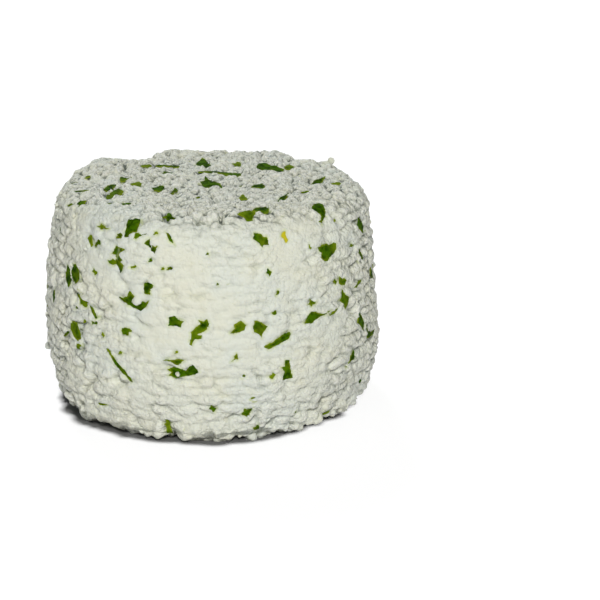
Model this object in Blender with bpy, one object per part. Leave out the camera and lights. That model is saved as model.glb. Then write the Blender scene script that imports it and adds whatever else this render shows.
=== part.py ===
"""Primo sale cheese: a small round fresh cheese that was drained in a ribbed basket.

The curd is one barrel-shaped body, widest below its middle. The basket has left rows of broken
ridges round the side, and the loose curd lies as pebbles on the top. Bits of chopped rocket leaf
and stray crumbs of curd are pressed into the skin, so they belong to the same solid.

Axes: +Z is up, -Y is the front and +X is to the right. The origin is in the middle of the base.
A bearing is an angle round the cheese in degrees, from the front towards the right. A reach is a
distance along the skin: from the middle of the top, over the shoulder and down to the base.
"""

import math
import random
from collections import namedtuple

import bmesh
import bpy
from mathutils import Matrix, Vector, noise

MM = 0.001

# Driving dimensions of the plain form.
HEIGHT = 82 * MM
SHOULDER_RADIUS = 58.5 * MM
SHOULDER_ROUND = 9 * MM
WIDEST_RADIUS = 62.5 * MM
WIDEST_HEIGHT = 27 * MM
FOOT_RADIUS = 58.5 * MM
FOOT_ROUND_HEIGHT = 7 * MM
FOOT_ROUND_INSET = 4 * MM

# Runs of the skin, worked out from the form.
TOP_FLAT = SHOULDER_RADIUS - SHOULDER_ROUND
SHOULDER_ARC = SHOULDER_ROUND * math.pi / 2
SIDE_RUN = HEIGHT - SHOULDER_ROUND - FOOT_ROUND_HEIGHT
FOOT_ARC = (FOOT_ROUND_HEIGHT + FOOT_ROUND_INSET) / 2 * math.pi / 2
SHOULDER_END = TOP_FLAT + SHOULDER_ARC
SIDE_END = SHOULDER_END + SIDE_RUN
SKIN_END = SIDE_END + FOOT_ARC

# The curd's relief.
RIDGE_PITCH = 3.4 * MM
RIDGE_DEPTH = 1.0 * MM
LUMP_LENGTH = 7 * MM
LUMP_DEPTH = 1.1 * MM
PEBBLE_DEPTH = 0.45 * MM
WAVE_LENGTH = 30 * MM
WAVE_DEPTH = 0.9 * MM
FOOT_WAVE_LENGTH = 9 * MM
FOOT_WAVE_DEPTH = 1.3 * MM

# How finely the skin is divided.
TOP_CELLS = 19
TOP_GRID_SHARE = 0.18
SHOULDER_RINGS = 4
FOOT_RINGS = 4

# Leaf bits and crumbs.
LEAF_RISE = 0.7 * MM
LEAF_SINK = 1.4 * MM
LEAF_GAP = 15 * MM
LEAF_SIZES = (0.9, 1.15)
CORNER_SCATTER = 0.2
BROAD_LEAF_MM = 3
SPREAD_LEAVES = 26
SPREAD_LENGTHS_MM = (5, 9)
SPREAD_WIDTHS_MM = (2.5, 5)
SIDE_SHARE = 0.8
CRUMB_SIZES = (0.85, 1.15)
CRUMB_FLOOR = 0.1 * MM
FOOT_BEADS = 18
BEAD_RADIUS_MM = 1.9
BEAD_SIZES = (0.8, 1.2)
BEAD_SCATTER = 6
BEAD_CLEARANCE = 0.5
SEED = 11

Swell = namedtuple("Swell", "bearing reach spread height")
Leaf = namedtuple("Leaf", "bearing reach length width turn")
Crumb = namedtuple("Crumb", "bearing reach radius")

# Broad swells and hollows that the basket and the hand have left. Lengths in millimetres.
SWELLS = (
    Swell(-125, 56, 14, 1.2),
    Swell(-147, 55, 8, -3.0),
    Swell(-164, 54, 8, 1.0),
    Swell(176, 54, 14, -0.5),
    Swell(150, 54, 6, 1.0),
    Swell(138, 56, 6, -1.3),
    Swell(105, 57, 16, -1.8),
    Swell(84, 90, 28, -0.9),
    Swell(82, 137, 13, 0.3),
    Swell(-92, 61, 14, -1.6),
    Swell(-88, 122, 12, -1.0),
    Swell(-24, 60, 12, 0.7),
)

# The largest leaf bits, as they lie. Lengths in millimetres. The turn is in degrees, from level.
LEAVES = (
    Leaf(-10, 2, 8, 6, 10),
    Leaf(-173, 27, 6, 7, 0),
    Leaf(134, 31, 9, 5, -134),
    Leaf(-146, 30, 9, 4, 147),
    Leaf(64, 19, 6, 4, -64),
    Leaf(45, 55, 10, 6, 50),
    Leaf(22, 46, 7, 5, -22),
    Leaf(13, 52, 6, 5, -7),
    Leaf(-17, 53, 6, 4, 7),
    Leaf(-66, 40, 7, 6, 66),
    Leaf(-30, 59, 6, 5, 100),
    Leaf(-35, 69, 6, 4, 100),
    Leaf(17, 62, 6, 4, -38),
    Leaf(43, 70, 7, 5, -11),
    Leaf(-56, 81, 8, 5, 95),
    Leaf(-28, 85, 5, 4, 92),
    Leaf(50, 89, 7, 5, -85),
    Leaf(36, 92, 9, 4, 5),
    Leaf(60, 100, 8, 5, 89),
    Leaf(70, 106, 10, 4, -20),
    Leaf(-12, 91, 5, 4, 4),
    Leaf(-4, 94, 10, 4, 55),
    Leaf(8, 91, 5, 4, 8),
    Leaf(17, 93, 6, 4, -62),
    Leaf(23, 99, 9, 3, 18),
    Leaf(-52, 101, 8, 3, -53),
    Leaf(-32, 109, 13, 1.5, -44),
    Leaf(-10, 108, 11, 4, 3),
    Leaf(25, 110, 7, 4, 91),
    Leaf(54, 112, 8, 4, -58),
    Leaf(12, 125, 5, 3, 94),
    Leaf(-16, 131, 6, 2, 83),
)

# Loose crumbs that stand out of the outline. Lengths in millimetres.
CRUMBS = (
    Crumb(122, 53, 2.4),
    Crumb(-89, 117, 2.2),
    Crumb(-10, 134, 2.2),
    Crumb(14, 136, 2.3),
    Crumb(40, 132, 2.2),
)


def side_radius(height):
    """Radius of the barrel at a height between its two rounded edges."""
    if height > WIDEST_HEIGHT:
        share = (height - WIDEST_HEIGHT) / (HEIGHT - SHOULDER_ROUND - WIDEST_HEIGHT)
        return WIDEST_RADIUS - (WIDEST_RADIUS - SHOULDER_RADIUS) * share ** 2
    share = (WIDEST_HEIGHT - height) / (WIDEST_HEIGHT - FOOT_ROUND_HEIGHT)
    return WIDEST_RADIUS - (WIDEST_RADIUS - FOOT_RADIUS) * share ** 2


def profile(reach):
    """Radius and height of the plain form at a reach."""
    if reach < TOP_FLAT:
        return reach, HEIGHT
    if reach < SHOULDER_END:
        angle = (reach - TOP_FLAT) / SHOULDER_ROUND
        return (TOP_FLAT + SHOULDER_ROUND * math.sin(angle),
                HEIGHT - SHOULDER_ROUND * (1 - math.cos(angle)))
    if reach < SIDE_END:
        height = HEIGHT - SHOULDER_ROUND - (reach - SHOULDER_END)
        return side_radius(height), height
    angle = min((reach - SIDE_END) / FOOT_ARC, 1.0) * math.pi / 2
    return (FOOT_RADIUS - FOOT_ROUND_INSET * (1 - math.cos(angle)),
            FOOT_ROUND_HEIGHT * (1 - math.sin(angle)))


def plain_point(bearing, reach):
    """Point of the plain form at a bearing and a reach."""
    radius, height = profile(reach)
    angle = math.radians(bearing)
    return Vector((radius * math.sin(angle), -radius * math.cos(angle), height))


def skin_axes(bearing, reach):
    """Unit vectors along the skin to the right, along the skin upwards, and out of the skin."""
    step = 0.5 * MM
    angle = math.radians(bearing)
    across = Vector((math.cos(angle), math.sin(angle), 0.0))
    upward = plain_point(bearing, max(reach - step, 0.0)) - plain_point(bearing, reach + step)
    upward.normalize()
    return across, upward, across.cross(upward)


def skin_point(bearing, reach, rise=0.0):
    """Point of the uneven skin, without its fine relief, raised along the skin's normal."""
    plain = plain_point(bearing, reach)
    rise += noise.noise(plain / WAVE_LENGTH) * WAVE_DEPTH
    for swell in SWELLS:
        away = (plain - plain_point(swell.bearing, swell.reach * MM)).length
        rise += swell.height * MM * math.exp(-(away / (swell.spread * MM)) ** 2)
    return plain + skin_axes(bearing, reach)[2] * rise


def disc_place(square):
    """Bearing and share of the radius on a disc for a point of the square from -1 to 1."""
    share = max(abs(square.x), abs(square.y))
    if share == 0.0:
        return 0.0, 0.0
    if abs(square.x) >= abs(square.y):
        angle = 45.0 * square.y / square.x + (180.0 if square.x < 0 else 0.0)
    else:
        angle = 90.0 - 45.0 * square.x / square.y + (180.0 if square.y < 0 else 0.0)
    return angle + 90.0, share


def ring_reaches():
    """Reach of each ring below the top grid: the shoulder, two rings to a ridge, and the foot."""
    start = TOP_FLAT + SHOULDER_ARC * TOP_GRID_SHARE
    shoulder = [start + (SHOULDER_END - start) * (k + 1) / SHOULDER_RINGS for k in range(SHOULDER_RINGS)]
    side_rings = 2 * round(SIDE_RUN / RIDGE_PITCH)
    side = [SHOULDER_END + SIDE_RUN * (k + 1) / side_rings for k in range(side_rings)]
    foot = [SIDE_END + FOOT_ARC * (k + 1) / FOOT_RINGS for k in range(FOOT_RINGS)]
    return shoulder, side, foot


def ridge_rise(bearing, reach, ring):
    """Rise of the skin on a crest (even ring) or in a groove (odd ring), broken into lumps."""
    point = plain_point(bearing, reach)
    lump = noise.noise(Vector((point.x, point.y, ring * LUMP_LENGTH)) / LUMP_LENGTH) * LUMP_DEPTH
    return lump + (RIDGE_DEPTH / 2 if ring % 2 == 0 else -RIDGE_DEPTH / 2)


def foot_rise(bearing, reach):
    """Ragged lobes where the curd has pressed out round the foot."""
    point = plain_point(bearing, reach)
    return noise.noise(Vector((point.x, point.y, 0.0)) / FOOT_WAVE_LENGTH) * FOOT_WAVE_DEPTH


def add_ring(mesh, loop, reach, rise):
    """Extrude the open edge loop to the next ring. rise gives a vertex's height off the skin."""
    grown = bmesh.ops.extrude_edge_only(mesh, edges=loop)["geom"]
    for vertex in (item for item in grown if isinstance(item, bmesh.types.BMVert)):
        bearing = math.degrees(math.atan2(vertex.co.x, -vertex.co.y))
        vertex.co = skin_point(bearing, reach, rise(bearing))
    return [item for item in grown if isinstance(item, bmesh.types.BMEdge)]


def curd_mesh(draw):
    """The barrel of curd: a pebbled top grid, rings down the ridged side, and a flat base."""
    mesh = bmesh.new()
    bmesh.ops.create_grid(mesh, x_segments=TOP_CELLS, y_segments=TOP_CELLS, size=1.0)
    top_reach = TOP_FLAT + SHOULDER_ARC * TOP_GRID_SHARE
    for vertex in mesh.verts:
        bearing, share = disc_place(vertex.co)
        rise = draw.uniform(-PEBBLE_DEPTH, PEBBLE_DEPTH)
        vertex.co = skin_point(bearing, share * top_reach, rise)
    loop = [edge for edge in mesh.edges if edge.is_boundary]
    shoulder, side, foot = ring_reaches()
    for reach in shoulder:
        loop = add_ring(mesh, loop, reach, lambda bearing: draw.uniform(-PEBBLE_DEPTH, PEBBLE_DEPTH))
    for ring, reach in enumerate(side):
        loop = add_ring(mesh, loop, reach, lambda bearing: ridge_rise(bearing, reach, ring))
    for reach in foot:
        loop = add_ring(mesh, loop, reach, lambda bearing: foot_rise(bearing, reach))
    base_rim = {vertex for edge in loop for vertex in edge.verts}
    for vertex in mesh.verts:
        vertex.co.z = 0.0 if vertex in base_rim else max(vertex.co.z, 0.0)
    bmesh.ops.contextual_create(mesh, geom=loop)
    bmesh.ops.recalc_face_normals(mesh, faces=mesh.faces)
    return mesh


def place_matrix(bearing, reach):
    """Matrix whose X runs right along the skin, whose Y runs up it and whose Z points out of it."""
    across, upward, outward = skin_axes(bearing, reach)
    turn = Matrix((across, upward, outward)).transposed().to_4x4()
    return Matrix.Translation(skin_point(bearing, reach)) @ turn


def leaf_mesh(leaf, draw):
    """One bit of chopped leaf: a thin plate with a ragged cut outline, set into the skin."""
    mesh = bmesh.new()
    corners = 5 if leaf.width > BROAD_LEAF_MM else 4
    first = draw.uniform(0, 360)
    rim = []
    for corner in range(corners):
        angle = math.radians(first + (corner + draw.uniform(-CORNER_SCATTER, CORNER_SCATTER)) * 360 / corners)
        size = draw.uniform(*LEAF_SIZES)
        rim.append(mesh.verts.new((math.cos(angle) * leaf.length / 2 * size * MM,
                                   math.sin(angle) * leaf.width / 2 * size * MM, LEAF_RISE)))
    plate = mesh.faces.new(rim)
    under = bmesh.ops.extrude_face_region(mesh, geom=[plate], use_keep_orig=True)["geom"]
    for vertex in (item for item in under if isinstance(item, bmesh.types.BMVert)):
        vertex.co.z = -LEAF_SINK
    bmesh.ops.triangulate(mesh, faces=mesh.faces)
    bmesh.ops.recalc_face_normals(mesh, faces=mesh.faces)
    turn = Matrix.Rotation(math.radians(leaf.turn), 4, "Z")
    mesh.transform(place_matrix(leaf.bearing, leaf.reach * MM) @ turn)
    return mesh


def crumb_mesh(crumb, draw):
    """One crumb of curd: a lumpy bead half sunk in the skin, flat where it meets the table."""
    mesh = bmesh.new()
    bmesh.ops.create_icosphere(mesh, subdivisions=1, radius=crumb.radius * MM)
    for vertex in mesh.verts:
        vertex.co *= draw.uniform(*CRUMB_SIZES)
    mesh.transform(place_matrix(crumb.bearing, crumb.reach * MM))
    for vertex in mesh.verts:
        vertex.co.z = max(vertex.co.z, CRUMB_FLOOR)
    return mesh


def spread_leaves(draw):
    """Leaf bits for the skin that LEAVES does not cover, spread evenly and clear of each other."""
    leaves = list(LEAVES)
    places = [plain_point(leaf.bearing, leaf.reach * MM) for leaf in leaves]
    wanted = len(leaves) + SPREAD_LEAVES
    while len(leaves) < wanted:
        on_side = draw.random() < SIDE_SHARE
        reach = draw.uniform(SHOULDER_END, SIDE_END) if on_side else TOP_FLAT * math.sqrt(draw.random())
        leaf = Leaf(draw.uniform(-180, 180), reach / MM, draw.uniform(*SPREAD_LENGTHS_MM),
                    draw.uniform(*SPREAD_WIDTHS_MM), draw.uniform(-90, 90))
        point = plain_point(leaf.bearing, reach)
        if min((point - other).length for other in places) > LEAF_GAP:
            leaves.append(leaf)
            places.append(point)
    return leaves


def foot_beads(draw):
    """Small beads of curd squeezed out round the foot, at even steps with a little scatter."""
    step = 360 / FOOT_BEADS
    lowest = SKIN_END - FOOT_ARC * BEAD_CLEARANCE
    return [Crumb(k * step + draw.uniform(-BEAD_SCATTER, BEAD_SCATTER),
                  draw.uniform(SIDE_END, lowest) / MM,
                  BEAD_RADIUS_MM * draw.uniform(*BEAD_SIZES)) for k in range(FOOT_BEADS)]


def finish(name, colour, roughness):
    """A plain Principled material."""
    material = bpy.data.materials.new(name)
    material.use_nodes = True
    shader = material.node_tree.nodes["Principled BSDF"]
    shader.inputs["Base Color"].default_value = (*colour, 1.0)
    shader.inputs["Roughness"].default_value = roughness
    shader.inputs["Metallic"].default_value = 0.0
    return material


def add_object(name, mesh, material, collection):
    """Turn a bmesh into an object with one material."""
    data = bpy.data.meshes.new(name)
    mesh.to_mesh(data)
    mesh.free()
    data.materials.append(material)
    item = bpy.data.objects.new(name, data)
    collection.objects.link(item)
    return item


def join_to(body, extras):
    """Fuse every object of a collection to the body, then remove those objects."""
    union = body.modifiers.new("Fuse", "BOOLEAN")
    union.operation = "UNION"
    union.operand_type = "COLLECTION"
    union.collection = extras
    union.solver = "EXACT"
    union.material_mode = "TRANSFER"
    fused = bpy.data.meshes.new_from_object(body.evaluated_get(bpy.context.evaluated_depsgraph_get()))
    body.modifiers.clear()
    body.data = fused
    for item in list(extras.objects):
        bpy.data.objects.remove(item)
    bpy.data.collections.remove(extras)


def centre(body):
    """Put the middle of the body's box over the origin."""
    xs = [vertex.co.x for vertex in body.data.vertices]
    ys = [vertex.co.y for vertex in body.data.vertices]
    middle = Vector(((min(xs) + max(xs)) / 2, (min(ys) + max(ys)) / 2, 0.0))
    body.data.transform(Matrix.Translation(-middle))


def build():
    """Model the cheese."""
    for item in list(bpy.data.objects):
        bpy.data.objects.remove(item)
    draw = random.Random(SEED)
    curd = finish("curd", (0.82, 0.82, 0.72), 0.6)
    rocket = finish("rocket_leaf", (0.08, 0.15, 0.01), 0.45)
    body = add_object("cheese", curd_mesh(draw), curd, bpy.context.scene.collection)
    extras = bpy.data.collections.new("leaf bits and crumbs")
    bpy.context.scene.collection.children.link(extras)
    for leaf in spread_leaves(draw):
        add_object("leaf bit", leaf_mesh(leaf, draw), rocket, extras)
    for crumb in (*CRUMBS, *foot_beads(draw)):
        add_object("crumb", crumb_mesh(crumb, draw), curd, extras)
    join_to(body, extras)
    centre(body)


build()
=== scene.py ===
"""Dresses a primo sale cheese in its ridged curd, its pressed-in rocket leaf and its crumbs.

A place on the cheese is given by a bearing and a reach. The bearing is the angle round the axis, from
the front (-Y) towards the right (+X). The reach is the distance along the skin from the middle of the
top, over the shoulder and down the side to the base. Lengths are metres unless a name ends in _mm.
"""

from __future__ import annotations

import itertools
import logging
import math
import random
from collections.abc import Mapping, Sequence
from dataclasses import dataclass, field
from enum import Enum, IntEnum

import bmesh
import bpy
import numpy as np
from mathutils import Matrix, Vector, noise
from mathutils.geometry import delaunay_2d_cdt

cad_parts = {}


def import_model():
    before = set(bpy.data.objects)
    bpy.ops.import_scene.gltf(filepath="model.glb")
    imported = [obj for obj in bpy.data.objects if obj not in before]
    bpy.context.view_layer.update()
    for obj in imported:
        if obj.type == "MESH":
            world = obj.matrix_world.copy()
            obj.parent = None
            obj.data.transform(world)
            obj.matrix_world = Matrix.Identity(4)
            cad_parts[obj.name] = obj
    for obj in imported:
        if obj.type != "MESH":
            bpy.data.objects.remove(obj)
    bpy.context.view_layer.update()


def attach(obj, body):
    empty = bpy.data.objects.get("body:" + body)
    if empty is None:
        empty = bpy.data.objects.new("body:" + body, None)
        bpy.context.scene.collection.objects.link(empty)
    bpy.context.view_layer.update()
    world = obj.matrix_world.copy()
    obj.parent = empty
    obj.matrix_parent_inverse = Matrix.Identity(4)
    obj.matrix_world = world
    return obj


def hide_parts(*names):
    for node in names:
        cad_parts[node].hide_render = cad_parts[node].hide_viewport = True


LOG = logging.getLogger("cheese")
MM = 0.001
TINY = 1e-9
LEVEL_EDGE = 1e-12
WELD = 1e-7
BODY = "root"
NODE = "cheese"
HASH_PRIMES = (73856093, 19349663, 83492791, 49979687)
HASH_START = 2654435761
HASH_STIRS = (0x9E3779B97F4A7C15, 0xBF58476D1CE4E5B9)
HASH_SHIFTS = (29, 32)
HASH_TOP = 0xFFFFFF
DRIFT_GAIN = 1.6
HALF_TURN = 180

Array = np.ndarray
Colour = tuple[float, float, float]
Span = tuple[float, float]


class Salt(IntEnum):
    """Numbers that keep one random field of the skin apart from another."""

    PATCHES = 20
    STRENGTH = 24
    FLUTED = 32
    RIPPLE = 36
    LOBES = 40
    RUFFLE = 48
    LEAF_WAVE = 60
    CRUMB = 80
    SCALES = 100
    CRUMBLE = 140
    FLUTES = 200
    RIDGES = 240


def smooth_step(low: float, high: float, values: Array) -> Array:
    """Share from 0 to 1 that rises smoothly while values go from low to high."""
    share = np.clip((values - low) / (high - low), 0.0, 1.0)
    return share * share * (3.0 - 2.0 * share)


def scatter(cells: Array, salt: int) -> Array:
    """Draw an even random number for each whole-number cell, the same on every run.

    Args:
        cells: Whole numbers, with the cell's coordinates along the last axis.
        salt: Which of many independent draws to take.

    Returns:
        Numbers from 0 to 1, one for each cell.
    """
    primes = np.array(HASH_PRIMES, dtype=np.uint64)
    mixed = np.full(cells.shape[:-1], HASH_START * (salt + 1), dtype=np.uint64)
    for axis in range(cells.shape[-1]):
        mixed ^= cells[..., axis].astype(np.int64).astype(np.uint64) * primes[axis]
        mixed *= np.uint64(HASH_STIRS[0])
        mixed ^= mixed >> np.uint64(HASH_SHIFTS[0])
    mixed *= np.uint64(HASH_STIRS[1])
    mixed ^= mixed >> np.uint64(HASH_SHIFTS[1])
    return (mixed & np.uint64(HASH_TOP)).astype(float) / float(HASH_TOP)


def drift(points: Array, wave: float, salt: int) -> Array:
    """Smooth gradient noise in space.

    Args:
        points: Points in metres, shaped (count, 3).
        wave: Length of one wave of the noise.
        salt: Which of many independent fields to take.

    Returns:
        Values of about -1 to 1, one for each point.
    """
    scaled = points / wave
    cell = np.floor(scaled).astype(np.int64)
    inside = scaled - cell
    fade = inside ** 3 * (inside * (inside * 6.0 - 15.0) + 10.0)
    total = np.zeros(len(points))
    for corner in itertools.product((0, 1), repeat=3):
        offset = np.array(corner)
        lattice = cell + offset
        slope = np.stack([scatter(lattice, salt * 3 + axis) * 2.0 - 1.0 for axis in range(3)], axis=1)
        weight = np.prod(np.where(offset == 1, fade, 1.0 - fade), axis=1)
        total += weight * np.sum(slope * (inside - offset), axis=1)
    return total * DRIFT_GAIN


@dataclass(frozen=True)
class Patch:
    """A broad round patch of the skin, with how much it adds in its middle."""

    bearing: float
    reach_mm: float
    spread_mm: float
    amount: float


@dataclass
class Form:
    """The barrel that the basket gives the curd, with its broad unevenness."""

    height: float = 82 * MM
    shoulder_radius: float = 58.5 * MM
    shoulder_round: float = 9 * MM
    widest_radius: float = 62.5 * MM
    widest_height: float = 27 * MM
    foot_radius: float = 58.5 * MM
    foot_round_height: float = 7 * MM
    foot_round_inset: float = 4 * MM
    wave_length: float = 30 * MM
    wave_depth: float = 0.9 * MM
    swells: tuple[Patch, ...] = tuple(Patch(*row) for row in (
        (-125, 56, 14, 1.2), (-147, 55, 8, -3.0), (-164, 54, 8, 1.0), (176, 54, 14, -0.5), (150, 54, 6, 1.0),
        (138, 56, 6, -1.3), (105, 57, 16, -1.8), (84, 90, 28, -0.9), (82, 137, 13, 0.3), (-92, 61, 14, -1.6),
        (-88, 122, 12, -1.0), (-24, 60, 12, 0.7)))
    hem: tuple[Span, ...] = (
        (-180, 0.6), (-110, 0.7), (-70, 0.9), (-45, 1.2), (-27, 1.5), (-17, 1.0), (-8, 1.7), (-1, 0.3), (8, 0.3),
        (15, 0.7), (24, 1.2), (36, 1.4), (47, 1.3), (60, 1.0), (90, 0.7), (180, 0.6))

    def __post_init__(self) -> None:
        """Work out where the top, the shoulder, the side and the foot end along the skin."""
        self.top_flat = self.shoulder_radius - self.shoulder_round
        self.shoulder_arc = self.shoulder_round * math.pi / 2
        self.side_run = self.height - self.shoulder_round - self.foot_round_height
        self.foot_arc = (self.foot_round_height + self.foot_round_inset) / 2 * math.pi / 2
        self.shoulder_end = self.top_flat + self.shoulder_arc
        self.side_end = self.shoulder_end + self.side_run
        self.skin_end = self.side_end + self.foot_arc

    def profile(self, reach: Array) -> tuple[Array, Array, Array, Array]:
        """Radius and height at a reach, with the outward normal.

        Args:
            reach: Distances along the skin.

        Returns:
            Radius, height, and the normal's radial and upward parts.
        """
        arc = np.clip((reach - self.top_flat) / self.shoulder_round, 0.0, math.pi / 2)
        height = np.clip(self.height - self.shoulder_round - (reach - self.shoulder_end),
                         self.foot_round_height, self.height - self.shoulder_round)
        above = (height - self.widest_height) / (self.height - self.shoulder_round - self.widest_height)
        below = (self.widest_height - height) / (self.widest_height - self.foot_round_height)
        upper_taper = self.widest_radius - self.shoulder_radius
        lower_taper = self.widest_radius - self.foot_radius
        share = np.where(above > 0, above, below)
        taper = np.where(above > 0, upper_taper, lower_taper)
        side = self.widest_radius - taper * share ** 2
        run = np.where(above > 0, self.height - self.shoulder_round - self.widest_height,
                       -(self.widest_height - self.foot_round_height))
        lean = 2.0 * taper * share / run
        foot = np.clip((reach - self.side_end) / self.foot_arc, 0.0, 1.0) * math.pi / 2
        on_top = reach < self.top_flat
        on_shoulder = (reach >= self.top_flat) & (reach < self.shoulder_end)
        on_foot = reach >= self.side_end
        radius = np.select(
            [on_top, on_shoulder, on_foot],
            [reach, self.top_flat + self.shoulder_round * np.sin(arc),
             self.foot_radius - self.foot_round_inset * (1.0 - np.cos(foot))], side)
        level = np.select(
            [on_top, on_shoulder, on_foot],
            [np.full_like(reach, self.height), self.height - self.shoulder_round * (1.0 - np.cos(arc)),
             self.foot_round_height * (1.0 - np.sin(foot))], height)
        norm = np.sqrt(1.0 + lean ** 2)
        outward = np.select([on_top, on_shoulder, on_foot],
                            [np.zeros_like(reach), np.sin(arc), np.cos(foot)], 1.0 / norm)
        upward = np.select([on_top, on_shoulder, on_foot],
                           [np.ones_like(reach), np.cos(arc), -np.sin(foot)], lean / norm)
        return radius, level, outward, upward

    def plain(self, bearing: Array, reach: Array) -> tuple[Array, Array]:
        """Points and normals of the plain form.

        Args:
            bearing: Angles round the axis, in radians.
            reach: Distances along the skin.

        Returns:
            Points and unit normals, each shaped (count, 3).
        """
        radius, level, outward, upward = self.profile(reach)
        ahead = np.stack([np.sin(bearing), -np.cos(bearing)], axis=1)
        points = np.column_stack([ahead * radius[:, None], level])
        normals = np.column_stack([ahead * outward[:, None], upward])
        return points, normals

    def hem_height(self, bearing: Array) -> Array:
        """How far the foot's edge stands off the floor, at bearings in degrees from -180 to 180."""
        turns, heights = zip(*self.hem)
        return np.interp(bearing, turns, heights) * MM

    def swelling(self, points: Array) -> Array:
        """Rise of the broad unevenness at points of the plain form.

        Args:
            points: Points of the plain form.

        Returns:
            Rise along the normal, one for each point.
        """
        scaled = points / self.wave_length
        rise = np.fromiter((noise.noise(Vector(point)) for point in scaled), float, len(points))
        return rise * self.wave_depth + self.patched(points, self.swells) * MM

    def patched(self, points: Array, patches: Sequence[Patch]) -> Array:
        """What patches add at points of the plain form.

        Args:
            points: Points of the plain form.
            patches: The patches.

        Returns:
            Their sum, one for each point.
        """
        total = np.zeros(len(points))
        for patch in patches:
            middle, _ = self.plain(np.radians([patch.bearing]), np.array([patch.reach_mm * MM]))
            away = np.linalg.norm(points - middle, axis=1)
            total += patch.amount * np.exp(-(away / (patch.spread_mm * MM)) ** 2)
        return total

    def locate(self, points: Array) -> tuple[Array, Array]:
        """Nearest place on the plain form for points close to it.

        Args:
            points: Points near the skin.

        Returns:
            Bearings in radians and reaches.
        """
        radius = np.hypot(points[:, 0], points[:, 1])
        bearing = np.arctan2(points[:, 0], -points[:, 1])
        level = points[:, 2]
        rim = self.height - self.shoulder_round
        arc = np.arctan2(radius - self.top_flat, np.maximum(level - rim, TINY))
        side = self.shoulder_end + np.clip(rim - level, 0.0, self.side_run + self.foot_arc)
        over_top = (radius < self.top_flat) & (level > self.height / 2)
        reach = np.where(over_top, radius,
                         np.where(level > rim, self.top_flat + arc * self.shoulder_round, side))
        return bearing, reach


@dataclass(frozen=True)
class LumpRows:
    """Rows of curd lumps that press against each other; where two lumps meet there is a groove.

    Bends shift a row to its side and slides shift it along. Each is a wave with a length and a share.
    """

    pitch: float
    length: float
    depth: float
    wander: float
    slide: float
    salt: int
    lift: float = 0.42 * MM
    tilt: float = 0.16
    boxiness: float = 1.25
    along_jitter: float = 0.42
    across_jitter: float = 0.22
    turn: float = 0.5
    row_shift: float = 0.618034
    bends: tuple[Span, ...] = ((17 * MM, 1.0), (6 * MM, 0.6))
    fine_bend: Span = (2.6 * MM, 0.4)
    slides: tuple[Span, ...] = ((8 * MM, 1.0), (3.2 * MM, 0.4))
    wide_share: float = 0.72
    wide_scatter: float = 0.26
    calm_stretch: float = 0.6
    tall_share: float = 0.68
    tall_scatter: float = 0.16
    middle_share: float = 0.66

    def rise(self, along: Array, across: Array, points: Array, strength: Array) -> Array:
        """Rise of the rows.

        Args:
            along: Length along the rows.
            across: Length across the rows.
            points: The plain form's points there.
            strength: How lumpy the rows are there, from 0 to about 1.

        Returns:
            The rows' rise, one for each point.
        """
        row, place = across / self.pitch, along / self.length
        salts = itertools.count(self.salt)
        for wave, share in self.bends:
            row = row + drift(points, wave, next(salts)) * self.wander * share
        wave, share = self.fine_bend
        row = row + drift(points, wave, next(salts)) * self.wander * share * strength
        for wave, share in self.slides:
            place = place + drift(points, wave, next(salts)) * self.slide * share
        best = np.full(len(points), -np.inf)
        first_draw = next(salts)
        for step, beside in itertools.product((-1, 0, 1), repeat=2):
            line = np.floor(row) + step
            moved = place + np.mod(line * self.row_shift, 1.0)
            spot = np.floor(moved) + beside
            key = np.stack([line, spot], axis=1).astype(np.int64)
            draws = [scatter(key, first_draw + number) * 2.0 - 1.0 for number in range(8)]
            x = (moved - spot - 0.5 - draws[0] * self.along_jitter) * self.length
            y = (row - line - 0.5 - draws[1] * self.across_jitter) * self.pitch
            angle = draws[2] * self.turn * strength
            stretch = self.calm_stretch * (1.0 - np.minimum(strength, 1.0))
            wide = self.length * (self.wide_share + self.wide_scatter * draws[3] + stretch)
            tall = self.pitch * (self.tall_share + self.tall_scatter * draws[4])
            u = (x * np.cos(angle) + y * np.sin(angle)) / wide
            v = (y * np.cos(angle) - x * np.sin(angle)) / tall
            bulge = 1.0 - (u * u + v * v) ** self.boxiness
            lump = self.depth * bulge + draws[5] * self.lift + self.tilt * (draws[6] * x + draws[7] * y)
            best = np.maximum(best, lump)
        return (best - self.middle_share * self.depth) * strength


@dataclass(frozen=True)
class Crumble:
    """Fine grains of curd that lie side by side, of one rough size."""

    size: float
    salt: int
    crest: float = 0.45 * MM
    scatter_share: float = 0.6
    jitter: float = 0.85
    middle: float = 0.6

    def rise(self, points: Array) -> Array:
        """Rise of the grains, from about -1 to 1.

        Args:
            points: Points of the plain form.

        Returns:
            The rise, to be scaled by a depth.
        """
        scaled = points / self.size
        cell = np.floor(scaled).astype(np.int64)
        near, far = np.full((2, len(points)), np.inf)
        lift = np.zeros(len(points))
        for corner in itertools.product((-1, 0, 1), repeat=3):
            key = cell + np.array(corner)
            spot = np.stack([scatter(key, self.salt + axis) for axis in range(3)], axis=1)
            away = np.linalg.norm(scaled - key - 0.5 - (spot - 0.5) * self.jitter, axis=1)
            closer = away < near
            far = np.where(closer, near, np.minimum(far, away))
            lift = np.where(closer, scatter(key, self.salt + 3) * 2.0 - 1.0, lift)
            near = np.where(closer, away, near)
        dome = 1.0 - np.exp(-(far - near) * self.size / (2 * self.crest))
        return (dome - self.middle + lift * self.scatter_share) * dome


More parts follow.
